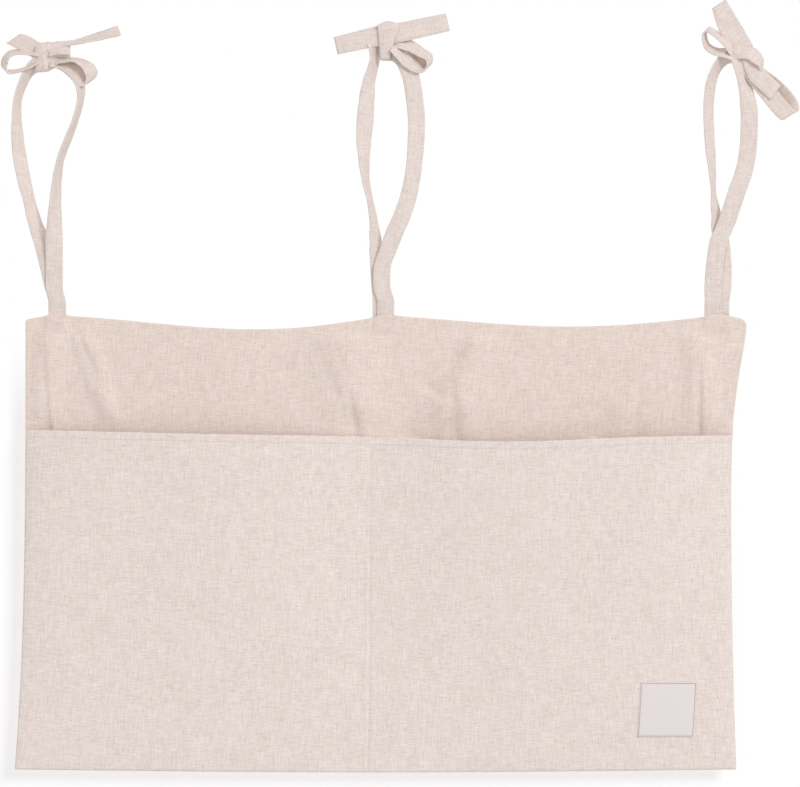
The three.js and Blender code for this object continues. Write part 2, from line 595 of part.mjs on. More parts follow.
function middleFront() {
  return joined([
    tapeRoot(-1, MIDDLE_FRONT_ROOT),
    tapeRun(MIDDLE_FRONT.run),
    knotRing(MIDDLE_KNOT_LENGTH, MIDDLE_FRONT.knot),
    tapeRun(MIDDLE_FRONT.loop),
  ]);
}

function middleRear() {
  return joined([tapeRoot(1, MIDDLE_REAR_ROOT), tapeRun(MIDDLE_REAR.run), tapeRun(MIDDLE_REAR.band)]);
}

function rightFront() {
  return joined([
    tapeRoot(-1, RIGHT_FRONT_ROOT),
    tapeRun(RIGHT_FRONT.run),
    knotRing(RIGHT_KNOT_LENGTH, RIGHT_FRONT.knot),
    tapeRun(RIGHT_FRONT.eye),
    tapeRun(RIGHT_FRONT.loop),
    tapeRun(RIGHT_FRONT.tail),
  ]);
}

function rightRear() {
  return joined([tapeRoot(1, RIGHT_REAR_ROOT), tapeRun(RIGHT_REAR.run), tapeRun(RIGHT_REAR.tail)]);
}

// The whole organizer

const linen = () => new THREE.MeshStandardMaterial({ color: 0xe5d8d1, roughness: 0.95, metalness: 0 });
const satin = () => new THREE.MeshStandardMaterial({ color: 0xefeae6, roughness: 0.6, metalness: 0 });
const cotton = () => new THREE.MeshStandardMaterial({ color: 0xdccbc0, roughness: 0.9, metalness: 0 });

function piece(name, geometry, material) {
  const mesh = new THREE.Mesh(geometry, material);
  mesh.name = name;
  return mesh;
}

function panelGroup() {
  const group = new THREE.Group();
  const layer = CLOTH_THICKNESS / 2;
  group.add(piece('facing_cloth', panelCloth(FACE_Y - layer, columns(24), evenly(13)), linen()));
  group.add(piece('back_cloth', panelCloth(REAR_Y + layer, columns(24), evenly(13)), linen()));
  group.add(piece('pocket_cloth', pocketCloth(), linen()));
  group.add(piece('label', label(), satin()));
  group.add(piece('hem_stitching', hemStitching(), cotton()));
  group.add(piece('centre_stitching', centreStitching(), cotton()));
  group.add(piece('label_stitching', labelStitching(), cotton()));
  group.position.z = SEAM_Z;
  return group;
}

function tieGroup(side, x, front, rear) {
  const group = new THREE.Group();
  group.add(piece(`tie_${side}_front_tape`, front, linen()));
  group.add(piece(`tie_${side}_rear_tape`, rear, linen()));
  group.position.set(x, 0, SEAM_Z);
  return group;
}

const organizer = new THREE.Group();
organizer.add(panelGroup());
organizer.add(tieGroup('left', -TIE_X, leftFront(), leftRear()));
organizer.add(tieGroup('middle', 0, middleFront(), middleRear()));
organizer.add(tieGroup('right', TIE_X, rightFront(), rightRear()));

export default organizer;
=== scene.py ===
"""Fabric wall organizer: a panel with two wide pockets, hung by three pairs of tapes tied in bows.

Sizes in the classes are millimetres, measured from the seam axis where the tapes are sewn in, with +X to
the viewer's right, +Z up and the pockets towards -Y. Finished meshes are in metres in the row frame.
"""

from __future__ import annotations

import logging
import math
from collections.abc import Callable, Mapping, Sequence
from dataclasses import dataclass, field
from enum import Enum

import bmesh
import bpy
import numpy as np
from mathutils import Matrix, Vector

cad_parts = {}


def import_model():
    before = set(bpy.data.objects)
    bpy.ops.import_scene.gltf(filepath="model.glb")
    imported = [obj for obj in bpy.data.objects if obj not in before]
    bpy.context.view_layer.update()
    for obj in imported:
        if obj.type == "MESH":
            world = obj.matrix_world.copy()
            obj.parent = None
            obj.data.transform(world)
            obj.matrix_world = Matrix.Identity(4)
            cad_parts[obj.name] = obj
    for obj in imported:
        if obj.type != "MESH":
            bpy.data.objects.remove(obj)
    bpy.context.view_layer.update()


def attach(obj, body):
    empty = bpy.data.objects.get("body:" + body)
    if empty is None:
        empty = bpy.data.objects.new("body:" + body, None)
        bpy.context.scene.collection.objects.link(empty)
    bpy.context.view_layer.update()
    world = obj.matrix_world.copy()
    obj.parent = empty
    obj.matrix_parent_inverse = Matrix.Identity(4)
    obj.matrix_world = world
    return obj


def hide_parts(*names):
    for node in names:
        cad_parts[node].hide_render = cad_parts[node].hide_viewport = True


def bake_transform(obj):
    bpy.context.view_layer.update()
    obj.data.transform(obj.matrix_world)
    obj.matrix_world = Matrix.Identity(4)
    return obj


MM = 0.001
SEAM_HEIGHT = -177.3  # of the seam axis below the bearing point
LATTICE = 64  # points a side of the lattice that a ripple repeats
CLOTH_MAP = "Cloth"  # the coordinates of the weave, in metres on the flat cloth

log = logging.getLogger("organizer")

Grid = np.ndarray
Pair = tuple[float, float]
Colour = Point = tuple[float, float, float]
Inputs = Mapping[str | int, object]


# Plain maths


def smooth(t: Grid | float) -> Grid:
    """Eases from 0 at t = 0 to 1 at t = 1."""
    s = np.clip(t, 0, 1)
    return s * s * (3 - 2 * s)


def bump(t: Grid | float) -> Grid:
    """A smooth hill, 1 at t = 0 and 0 from t = 1 on either side."""
    return 1 - smooth(np.abs(t))


def round_off(t: Grid | float) -> Grid:
    """The height of a quarter circle, 0 at t = 0 and 1 from t = 1 on."""
    s = 1 - np.clip(t, 0, 1)
    return np.sqrt(1 - s * s)


def ticks(length: float, pitch: float, places: Sequence[float], near: Sequence[float]) -> Grid:
    """Shares of a length for the lines of a mesh.

    Args:
        length: the whole length.
        pitch: the distance of the even lines.
        places: where more lines are wanted, as distances from the start.
        near: how far before and behind each place they lie.

    Returns:
        The shares from 0 to 1, rising.
    """
    extra = {0.0, length}
    for place in places:
        extra |= {place + side * step for step in near for side in (-1, 1)}
    extra = sorted(e for e in extra if -1e-9 <= e <= length + 1e-9)
    even = np.linspace(0, length, max(2, round(length / pitch)) + 1)[1:-1]
    spaced = [e for e in even if min(abs(e - x) for x in extra) > pitch * 0.3]
    return np.array(sorted([*extra, *spaced])) / length


@dataclass(frozen=True)
class Ripple:
    """The unevenness of a hanging cloth: smooth heights between the points of a seeded lattice."""

    seed: int
    pitch: float
    height: float
    stretch: float = 1.0
    turn: float = 0.0

    def at(self, x: Grid, z: Grid) -> Grid:
        """The height at places x, z.

        Args:
            x: places across, in millimetres.
            z: their heights, in millimetres.

        Returns:
            The height there.
        """
        lattice = np.random.default_rng(self.seed).uniform(-1, 1, (LATTICE, LATTICE))
        c, s = math.cos(self.turn), math.sin(self.turn)
        a = (c * x + s * z) / self.pitch + 10 * LATTICE
        b = (c * z - s * x) / (self.pitch * self.stretch) + 10 * LATTICE
        i, j = np.floor(a).astype(int), np.floor(b).astype(int)
        f, g = smooth(a - i), smooth(b - j)
        i0, j0, i1, j1 = i % LATTICE, j % LATTICE, (i + 1) % LATTICE, (j + 1) % LATTICE
        low = lattice[i0, j0] * (1 - f) + lattice[i1, j0] * f
        high = lattice[i0, j1] * (1 - f) + lattice[i1, j1] * f
        return self.height * (low * (1 - g) + high * g)


# Meshes


def add_object(name: str, data: bpy.types.ID) -> bpy.types.Object:
    """Puts an object in the scene.

    Args:
        name: the object's name.
        data: its mesh, lamp or camera.

    Returns:
        The object.
    """
    made = bpy.data.objects.new(name, data)
    bpy.context.scene.collection.objects.link(made)
    return made


@dataclass
class Skin:
    """The points and faces of one piece, with the place of each point on the flat cloth."""

    points: list[Grid] = field(default_factory=list)
    cloth: list[Grid] = field(default_factory=list)
    faces: list[tuple[int, ...]] = field(default_factory=list)
    count: int = 0

    def add(self, points: Grid, cloth: Grid) -> int:
        """Adds points.

        Args:
            points: the points.
            cloth: their places on the flat cloth.

        Returns:
            The number of the first one.
        """
        first = self.count
        self.points.append(points.reshape(-1, 3))
        self.cloth.append(cloth.reshape(-1, 2))
        self.count += points.size // 3
        return first

    def patch(self, numbers: Grid) -> None:
        """Adds the faces of a grid of point numbers.

        Args:
            numbers: rows and columns of point numbers.
        """
        a, b = numbers[:-1, :-1].ravel(), numbers[1:, :-1].ravel()
        c, d = numbers[1:, 1:].ravel(), numbers[:-1, 1:].ravel()
        self.faces += list(zip(a.tolist(), b.tolist(), c.tolist(), d.tolist()))

    def shell(self, front: Grid, back: Grid, cloth: Grid) -> None:
        """Adds a closed cloth between two grids of points.

        Args:
            front: the front's points, rows by columns.
            back: the back's points, in the same order.
            cloth: their places on the flat cloth.
        """
        rows, columns = front.shape[:2]
        numbers = np.arange(rows * columns).reshape(rows, columns)
        near = numbers + self.add(front, cloth)
        far = numbers + self.add(back, cloth)
        self.patch(near)
        self.patch(far[:, ::-1])
        edges = ((near[0], far[0]), (far[-1], near[-1]), (far[:, 0], near[:, 0]), (near[:, -1], far[:, -1]))
        for edge in edges:
            self.patch(np.stack(edge))

    def sweep(self, rings: Grid, cloth: Grid, closed: bool = False) -> None:
        """Adds a tube through rings of points, with flat ends unless it is closed.

        Args:
            rings: the rings, by number along and around.
            cloth: the points' places on the flat cloth.
            closed: True where the last ring joins the first.
        """
        count, around = rings.shape[:2]
        numbers = np.arange(count * around).reshape(count, around) + self.add(rings, cloth)
        wrapped = np.concatenate([numbers, numbers[:, :1]], axis=1)
        self.patch(np.concatenate([wrapped, wrapped[:1]]) if closed else wrapped)
        if not closed:
            self.faces += [tuple(numbers[0].tolist()), tuple(numbers[-1][::-1].tolist())]

    def piece(self, name: str, material: bpy.types.Material, lift: float = SEAM_HEIGHT) -> bpy.types.Object:
        """Makes the mesh object.

        Args:
            name: the piece's name.
            material: its finish.
            lift: the height of the points' own zero, in millimetres.

        Returns:
            The object, with its place in its mesh, in metres.
        """
        mesh = bpy.data.meshes.new(name)
        points = (np.concatenate(self.points) + [0, 0, lift]) * MM
        mesh.from_pydata(points.tolist(), [], self.faces)
        tidy = bmesh.new()
        tidy.from_mesh(mesh)
        bmesh.ops.recalc_face_normals(tidy, faces=tidy.faces)
        tidy.to_mesh(mesh)
        tidy.free()
        corner = np.zeros(len(mesh.loops), np.int32)
        mesh.loops.foreach_get("vertex_index", corner)
        weave = (np.concatenate(self.cloth) * MM)[corner]
        mesh.uv_layers.new(name=CLOTH_MAP).data.foreach_set("uv", weave.astype(np.float32).ravel())
        mesh.shade_smooth()
        mesh.materials.append(material)
        return add_object(name, mesh)


# Node trees


def adds(operation: str, flip: bool = False) -> Callable[..., Wire]:
    """A method of Wire that adds a Math node.

    Args:
        operation: the Math node's operation.
        flip: True where the other value comes first.

    Returns:
        The method, which takes the wire and the node's other values.
    """

    def method(self: Wire, *others: Wire | float) -> Wire:
        """Adds the node."""
        values = (self, *others)
        return self.bench.math(operation, *(values[::-1] if flip else values))

    return method


class Wire:
    """A socket of a node tree. Python's operators on it add Math nodes."""

    __add__ = __radd__ = adds("ADD")
    __sub__ = adds("SUBTRACT")
    __rsub__ = adds("SUBTRACT", flip=True)
    __mul__ = __rmul__ = adds("MULTIPLY")
    __truediv__ = adds("DIVIDE")
    floor = adds("FLOOR")
    fract = adds("FRACT")
    absolute = adds("ABSOLUTE")
    sine = adds("SINE")
    maximum = adds("MAXIMUM")
    above = adds("GREATER_THAN")

    def __init__(self, bench: Bench, socket: bpy.types.NodeSocket) -> None:
        """Keeps the socket and the bench that adds nodes to it."""
        self.bench = bench
        self.socket = socket

    def wave(self) -> Wire:
        """Its sine, from 0 to 1."""
        return self.sine() * 0.5 + 0.5

    def ease(self, low: float, high: float) -> Wire:
        """0 up to low, 1 from high on, smooth between."""
        inputs = {"Value": self, "From Min": low, "From Max": high}
        return self.bench.wire("ShaderNodeMapRange", inputs, interpolation_type="SMOOTHSTEP")


class Bench:
    """Builds the nodes of one tree."""

    def __init__(self, tree: bpy.types.NodeTree) -> None:
        """Clears the tree."""
        self.tree = tree
        tree.nodes.clear()

    def node(self, kind: str, inputs: Inputs | None = None, **settings: object) -> bpy.types.Node:
        """Adds a node.

        Args:
            kind: the node's type.
            inputs: values, sockets or wires for its sockets, by name or number.
            settings: its properties, which are set first.

        Returns:
            The node.
        """
        node = self.tree.nodes.new(kind)
        for name, value in settings.items():
            setattr(node, name, value)
        for name, value in (inputs or {}).items():
            source = value.socket if isinstance(value, Wire) else value
            if isinstance(source, bpy.types.NodeSocket):
                self.tree.links.new(source, node.inputs[name])
            else:
                node.inputs[name].default_value = source
        return node

    def wire(self, kind: str, inputs: Inputs, output: str | int = 0, **settings: object) -> Wire:
        """Adds a node and returns one of its outputs as a wire."""
        return Wire(self, self.node(kind, inputs, **settings).outputs[output])

    def math(self, operation: str, *values: Wire | float) -> Wire:
        """Adds a Math node on values."""
        return self.wire("ShaderNodeMath", dict(enumerate(values)), operation=operation)

    def mix(self, factor: Wire | float, a: Wire | Colour, b: Wire | Colour, blend: str = "MIX") -> Wire:
        """A colour from a, where factor is 0, to b, where it is 1."""
        full = {place: c if isinstance(c, Wire) else (*c, 1) for place, c in ((6, a), (7, b))}
        return self.wire("ShaderNodeMix", {0: factor, **full}, 2, data_type="RGBA", blend_type=blend)

    def speckle(self, x: Wire, y: Wire, detail: float = 1.0) -> Wire:
        """Plain noise at x, y, about 0.5.

        Args:
            x: one coordinate.
            y: the other.
            detail: how much finer noise is added.

        Returns:
            The noise.
        """
        place = self.wire("ShaderNodeCombineXYZ", {"X": x, "Y": y})
        inputs = {"Vector": place, "Scale": 1.0, "Detail": detail, "Roughness": 0.5}
        return self.wire("ShaderNodeTexNoise", inputs, noise_dimensions="2D")

    def axes(self, vector: Wire) -> list[Wire]:
        """The three parts of a vector."""
        return [Wire(self, part) for part in self.node("ShaderNodeSeparateXYZ", {0: vector}).outputs]

    def place(self) -> list[Wire]:
        """The place on the object, in metres."""
        return self.axes(self.wire("ShaderNodeTexCoord", {}, "Object"))

    def weave(self) -> list[Wire]:
        """The two coordinates on the flat cloth, in metres."""
        return self.axes(self.wire("ShaderNodeUVMap", {}, "UV", uv_map=CLOTH_MAP))[:2]

    def output(self, shader: bpy.types.Node, kind: str = "ShaderNodeOutputMaterial") -> None:
        """Ends the tree in a shader node."""
        self.node(kind, {"Surface": shader.outputs[0]})

    def fabric(self, height: Wire, relief: float, strength: float, inputs: Inputs) -> None:
        """Ends the tree in a shader with a relief.

        Args:
            height: the relief's height, from 0 to about 1.
            relief: what a height of 1 is in metres.
            strength: the relief's strength.
            inputs: the shader's other inputs.
        """
        normal = self.wire("ShaderNodeBump", {"Height": height, "Distance": relief, "Strength": strength})
        self.output(self.node("ShaderNodeBsdfPrincipled", {**inputs, "Normal": normal}))


def new_material(name: str) -> tuple[bpy.types.Material, Bench]:
    """A material, and the bench for its nodes.

    Args:
        name: the material's name.

    Returns:
        The material and its bench.
    """
    material = bpy.data.materials.new(name)
    material.use_nodes = True
    return material, Bench(material.node_tree)


@dataclass(frozen=True)
class Linen:
    """Oatmeal weave of linen and cotton: single yarns of uneven tone, with a few brown flecks.

    All lengths are metres on the flat cloth. A run is how far a yarn keeps its tone.
    """

    name: str = "linen"
    light: Colour = (0.905, 0.815, 0.775)
    dark: Colour = (0.66, 0.555, 0.505)
    fleck: Colour = (0.42, 0.31, 0.24)
    yarn: float = 0.62 * MM
    relief: float = 0.10 * MM
    edge_row: float = 0.0
    stitch: float = 2.6 * MM
    warp_run: float = 9.0 * MM
    weft_run: float = 7.5 * MM
    slub_run: float = 16.0 * MM
    fleck_run: tuple[float, float] = (2.4 * MM, 1.9 * MM)
    contrast: float = 1.5
    offset: float = -0.26

    def build(self) -> bpy.types.Material:
        """Makes the material.

        Returns:
            The material.
        """
        material, bench = new_material(self.name)
        u, v = bench.weave()
        a, b = u / self.yarn, v / self.yarn
        column, row = a.floor(), b.floor()
        warp_tone = bench.speckle(column * 17.31, v / self.warp_run)
        weft_tone = bench.speckle(u / self.weft_run + 60.0, row * 13.77)
        warp = (a.fract() * math.pi).sine() * ((b + column) * math.pi).wave()
        weft = (b.fract() * math.pi).sine() * (1 - ((a + row) * math.pi).wave())
        over = warp.above(weft)
        under = 1 - over
        tone = over * warp_tone + under * weft_tone
        cloudy = bench.speckle(u / 0.022 + 7.0, v / 0.030, 2.0)
        slub = bench.speckle(column * 3.37 + 20.0, v / self.slub_run).ease(0.58, 0.74) * over
        slub = slub + bench.speckle(u / self.slub_run + 30.0, row * 4.19).ease(0.58, 0.74) * under
        share = tone * self.contrast + cloudy * 0.12 - slub * 0.15 + self.offset
        colour = bench.mix(share, self.dark, self.light)
        warm = bench.speckle(u / 0.013 + 90.0, v / 0.017 + 40.0).ease(0.35, 0.65)
        tint = bench.mix(warm, (0.998, 1.0, 1.003), (1.0015, 1.0, 0.995))
        colour = bench.mix(1.0, colour, tint, "MULTIPLY")
        along, across = self.fleck_run
        flecks = bench.speckle(column * 5.13 + 40.0, v / along).ease(0.72, 0.80) * over
        flecks = flecks.maximum(bench.speckle(u / across, row * 7.91 + 20.0).ease(0.73, 0.80) * under)
        colour = bench.mix(flecks * 0.6, colour, self.fleck)
        height = warp.maximum(weft) * (tone * 0.9 + 0.45)
        if self.edge_row:
            groove = 1 - ((u.absolute() - self.edge_row) / (0.35 * MM)).absolute().ease(0.0, 1.0)
            stitch = ((v / self.stitch).fract() - 0.5).absolute().ease(0.28, 0.42)
            height = height - groove * (0.8 + stitch * 1.4)
            # Painted shade: the colour darkens along the sewn groove, and more at the stitches.
            colour = bench.mix(groove * (0.16 + stitch * 0.2), colour, self.dark)
        inputs = {"Roughness": 0.95, "Specular IOR Level": 0.2, "Sheen Weight": 0.12, "Sheen Roughness": 0.5}
        bench.fabric(height, self.relief, 0.7, {"Base Color": colour, **inputs})
        return material


@dataclass(frozen=True)
class Satin:
    """White woven ribbon with fine ribs across."""

    name: str = "label"
    colour: Colour = (0.785, 0.725, 0.71)
    shade: Colour = (0.70, 0.64, 0.63)
    rib: float = 0.42 * MM
    float_across: float = 0.3 * MM
    float_along: float = 1.1 * MM

    def build(self) -> bpy.types.Material:
        """Makes the material.

        Returns:
            The material.
        """
        material, bench = new_material(self.name)
        u, v = bench.weave()
        rib = (v * (math.tau / self.rib)).wave()
        floats = (u * (math.tau / self.float_across) + v * (math.tau / self.float_along)).wave()
        streak = bench.speckle(u / 0.006, v / 0.00045, 2.0)
        colour = bench.mix(streak * 0.5 + rib * 0.12, self.colour, self.shade)
        inputs = {"Base Color": colour, "Roughness": streak * 0.16 + 0.38}
        inputs |= {"Specular IOR Level": 0.45, "Sheen Weight": 0.15}
        bench.fabric(rib * 0.7 + floats * 0.3, 0.04 * MM, 0.5, inputs)
        return material


@dataclass(frozen=True)
class Thread:
    """Twisted sewing thread."""

    name: str
    colour: Colour
    twist: float = 0.45 * MM
    depth: float = 0.62

    def build(self) -> bpy.types.Material:
        """Makes the material.

        Returns:
            The material.
        """
        material, bench = new_material(self.name)
        x, _, z = bench.place()
        ply = ((x + z) * (math.tau / self.twist)).wave()
        worn = bench.speckle(x / 0.004, z / 0.004, 2.0)
        deep = tuple(c * self.depth for c in self.colour)
        colour = bench.mix(ply * 0.45 + worn * 0.3, self.colour, deep)
        inputs = {"Base Color": colour, "Roughness": worn * 0.2 + 0.65, "Sheen Weight": 0.1}
        bench.fabric(ply, 0.06 * MM, 0.6, inputs)
        return material


# The panel


@dataclass(frozen=True)
class Outline:
    """The panel's outline.

    u runs across and v down, from 0 to 1, and a pair is for the left and the right half.
    """

    width: float = 500.0
    height: float = 314.0
    rise: float = 0.3
    tie_rise: float = 1.4
    tie_reach: float = 13.0
    sag: Pair = (9.4, 7.5)
    skew: Pair = (1.36, 1.2)
    sag_fullness: float = 1.06
    corner_drop: float = 3.0
    corner: Pair = (1.5, 5.0)
    bottom_sag: float = 2.0
    bottom_lean: float = 7.5
    lean_curve: float = 3.5
    right_draw: float = 11.4
    right_reach: float = 52.0
    right_onset: float = 1.7
    return_curve: float = 3.2
    mouth_drop: float = 80.4
    mouth_bow: float = 2.6
    mouth_lean: float = 1.9
    mouth_dip: float = 3.3
    dip_x: float = 90.0
    dip_reach: float = 75.0
    tie_inset: float = 22.0

    @property
    def half(self) -> float:
        """Half of the width."""
        return self.width / 2

    @property
    def tie_x(self) -> float:
        """How far the outer ties are from the middle."""
        return self.half - self.tie_inset

    def top(self, x: Grid) -> Grid:
        """Height of the top edge, which sags between the ties and has rounded corners.

        Args:
            x: places across the flat cloth.

        Returns:
            The heights.
        """
        out = np.abs(x) - self.tie_x
        depth, skew, radius = (np.where(x < 0, *pair) for pair in (self.sag, self.skew, self.corner))
        along = np.clip(np.where(x < 0, x + self.tie_x, x) / self.tie_x, 0, 1)
        sag = -depth * np.clip(np.sin(np.pi * along**skew), 0, 1) ** self.sag_fullness
        inset = np.maximum(0, radius - (self.half - np.abs(x)))
        corner = radius - np.sqrt(np.maximum(0, radius**2 - inset**2))
        fall = -self.corner_drop * (np.maximum(out, 0) / self.tie_inset) ** 2 - corner
        tie = sum(bump((x - middle) / self.tie_reach) for middle in (-self.tie_x, -1.0, self.tie_x + 1))
        return np.where(out < 0, sag, fall) + self.rise + self.tie_rise * tie

    def bottom(self, x: Grid) -> Grid:
        """Height of the bottom seam."""
        return -self.height - self.bottom_sag * np.cos(np.pi * x / self.width)

    def mouth(self, x: Grid) -> Grid:
        """Height of the pockets' mouth.

        Args:
            x: places across the flat cloth.

        Returns:
            The heights.
        """
        bow = self.mouth_bow * np.cos(np.pi * x / self.width)
        dip = self.mouth_dip * np.exp(-(((x - self.dip_x) / self.dip_reach) ** 2))
        return -self.mouth_drop - self.mouth_lean * x / self.half - bow - dip

    def sides(self, z: Grid) -> tuple[Grid, Grid]:
        """Where the left and right edges are at height z.

        Args:
            z: heights.

        Returns:
            The left edge's x and the right edge's.
        """
        s = np.clip(-z / self.height, 0, 1)
        drawn = self.right_draw * (1 - np.exp(-((s * self.height / self.right_reach) ** self.right_onset)))
        left = -self.half - self.bottom_lean * s**self.lean_curve
        return left, self.half - drawn + (self.right_draw - self.bottom_lean) * s**self.return_curve

    def flat_x(self, u: Grid) -> Grid:
        """The place across the flat cloth."""
        return -self.half + self.width * u

    def lay(self, u: Grid, v: Grid, start: Callable[[Grid], Grid]) -> tuple[Grid, Grid, Grid, Grid]:
        """The place of u, v on a cloth.

        Args:
            u: shares across.
            v: shares down.
            start: gives the height of the cloth's upper edge.

        Returns:
            x, z, the cloth's height there and the distance from its sides and bottom.
        """
        x0 = self.flat_x(u)
        top, bottom = start(x0), self.bottom(x0)
        z = top + (bottom - top) * v
        left, right = self.sides(z)
        x = left + (right - left) * u
        tall = top - bottom
        return x, z, tall, np.minimum.reduce([x - left, right - x, (1 - v) * tall])


@dataclass(frozen=True)
class Fold:
    """A soft fold above the pockets' mouth."""

    share: float
    x: float
    drift: float
    reach: float


@dataclass(frozen=True)
class Crease:
    """A crease pressed into the cloth, from one place to another, widest and deepest at its lower end.

    onset and tail are the shares of its length over which it starts and ends, spread its width's share at its
    start and what it gains by its end.
    """

    start: Pair
    end: Pair
    width: float
    depth: float
    onset: float = 0.5
    tail: float = 0.12
    spread: Pair = (0.6, 1.2)

    def at(self, x: Grid, z: Grid) -> Grid:
        """How far it sets the cloth back.

        Args:
            x: places across, in millimetres.
            z: their heights, in millimetres.

        Returns:
            The distance to the rear.
        """
        (x0, z0), (x1, z1) = self.start, self.end
        length = math.hypot(x1 - x0, z1 - z0)
        along = ((x - x0) * (x1 - x0) + (z - z0) * (z1 - z0)) / length**2
        off = ((x - x0) * (z1 - z0) - (z - z0) * (x1 - x0)) / length
        fade = smooth(along / self.onset) * smooth((1 + self.tail - along) / self.tail)
        width = self.width * (self.spread[0] + self.spread[1] * np.clip(along, 0, 1))
        return self.depth * fade * np.exp(-((off / width) ** 2))


@dataclass
class Panel:
    """The hanging panel: a front and a rear cloth sewn together and turned, and the pockets' cloth.

    outer, inner and the pocket's two pairs are a face's distance from its plane at an edge, and what it gains
    inside. A groove or ridge is its half width and its depth. The offsets keep the weaves of the three cloths
    apart.
    """

    outline: Outline = Outline()
    seam_plane: float = 2.0
    cloth: float = 0.8
    fold_depth: float = 4.2
    mouth_fade: float = 0.26
    roll: float = 1.7
    gape: float = 12.0
    outer_roundness: float = 0.5
    inner_roundness: float = 1.2
    belly: float = 0.8
    hem: float = 8.0
    hem_row: float = 5.0
    centre_seam: float = -5.0
    pitch: float = 2.6
    fine: float = 1.6
    coarse: float = 6.0
    folds: tuple[Fold, ...] = (
        Fold(0.7, -230, -8, 14),
        Fold(0.8, -214, 26, 12),
        Fold(1.0, -31, 11, 32),
        Fold(1.0, 68, -28, 25),
        Fold(0.7, 214, 6, 16),
    )
    creases: tuple[Crease, ...] = (
        Crease((-238, -17), (-234.5, -82), 1.8, 2.0),
        Crease((-218, -1), (-199, -46), 2.4, 1.9),
        Crease((-59, -8), (-72, -40), 2.8, 1.3),
        Crease((-51, -15), (-27, -72), 3.0, 1.0),
        Crease((-26, -48), (-21, -84), 2.5, 2.2),
        Crease((60, -6), (34, -52), 5.0, 2.6),
        Crease((46, -40), (47, -86), 3.2, 2.4),
        Crease((30, -24), (22, -84), 9.0, 3.0),
        Crease((18, -44), (14, -82), 4.6, 2.2),
        Crease((158, -55), (146, -84), 4.0, 1.8),
        Crease((176, -40), (173, -84), 2.4, 1.2),
        Crease((217, -22), (216, -84), 1.8, 1.9),
    )
    drape: tuple[Ripple, ...] = (Ripple(3, 46, 0.35, 1.6), Ripple(8, 13, 0.10, 1.4, 0.5))
    swell: tuple[Ripple, ...] = (
        Ripple(5, 60, 1.8, 1.3),
        Ripple(6, 21, 0.30, 1.7, -0.4),
        Ripple(9, 9, 0.07, 1.3),
    )
    pucker: Ripple = Ripple(12, 8.5, 0.16, 1.0)
    pucker_reach: float = 9.0
    outer: Pair = (0.25, 0.70)
    inner: Pair = (0.08, 0.07)
    tie_lift: Pair = (1.1, 0.55)
    tie_sink: float = 0.2
    pocket_outer: Pair = (0.75, 1.30)
    pocket_inner: Pair = (0.35, 0.90)
    hem_groove: Pair = (1.1, 0.08)
    seam_groove: Pair = (1.2, 0.35)
    seam_ridge: Pair = (1.7, 0.3)
    ridge_shift: float = 2.4
    full_swell: float = 7.0
    end_lines: tuple[float, ...] = (0.12, 0.35, 0.7, 1.1, 1.7, 2.4, 3.6, 5.0)
    place_lines: tuple[float, ...] = (0.4, 0.9, 1.6, 2.6)
    tie_halves: tuple[float, float, float] = (6.3, 6.3, 8.3)
    tie_depth: float = 6.0
    rear_offset: float = 900.0
    pocket_offset: float = 1800.0

    def lines(self, length: float, places: Sequence[float], pitch: float = 0.0, until: float = 0.0) -> Grid:
        """Lines of a mesh along a length, closer together at its ends and at other places.

        Args:
            length: the whole length.
            places: where more lines are wanted.
            pitch: the distance of the even lines, if it isn't the usual one.
            until: how far from the start the finest lines go.

        Returns:
            The lines' shares of the length.
        """
        pitch = pitch or self.pitch
        close = ticks(length, pitch, [0, length], self.end_lines)
        inner = ticks(length, pitch, [0, length, *places], self.place_lines)
        fine = np.arange(6.0, until, self.fine) / length
        joined = np.unique(np.round(np.concatenate([close, inner, fine]), 7))
        keep = np.concatenate([[True], np.diff(joined) > 0.08 / length])
        return joined[keep]

    def fold_at(self, x: Grid, z: Grid) -> Grid:
        """How far the soft folds bring the cloth forward.

        Args:
            x: places across, in millimetres.
            z: their heights, in millimetres.

        Returns:
            The distance to the front.
        """
        line = self.outline
        fade = smooth((-z - line.sag[0]) / line.sag[0])
        fade = fade * smooth((line.mouth_drop + z) / (line.mouth_drop * self.mouth_fade))
        down = -z / line.mouth_drop
        total = sum(f.share * bump((x - f.x - f.drift * down) / f.reach) for f in self.folds)
        return self.fold_depth * fade * np.minimum(1, total)

    def shared(self, x: Grid, z: Grid, near: Grid) -> Grid:
        """The drape that all cloths of the panel share, puckered near a seam."""
        drape = sum(r.at(x, z) for r in self.drape)
        return drape + self.pucker.at(x, z) * bump(near / self.pucker_reach)

    def at_ties(self, x: Grid, z: Grid) -> Grid:
        """1 where a pair of tapes lies in the top seam, fading to 0 round it.

        Args:
            x: places across, in millimetres.
            z: their heights, in millimetres.

        Returns:
            The share.
        """
        middles = (-self.outline.tie_x, 0.0, self.outline.tie_x + 2)
        total = sum(1 - smooth((np.abs(x - m) - half) / 3.5) for m, half in zip(middles, self.tie_halves))
        return total * (1 - smooth((-z - self.tie_depth) / 8.0))

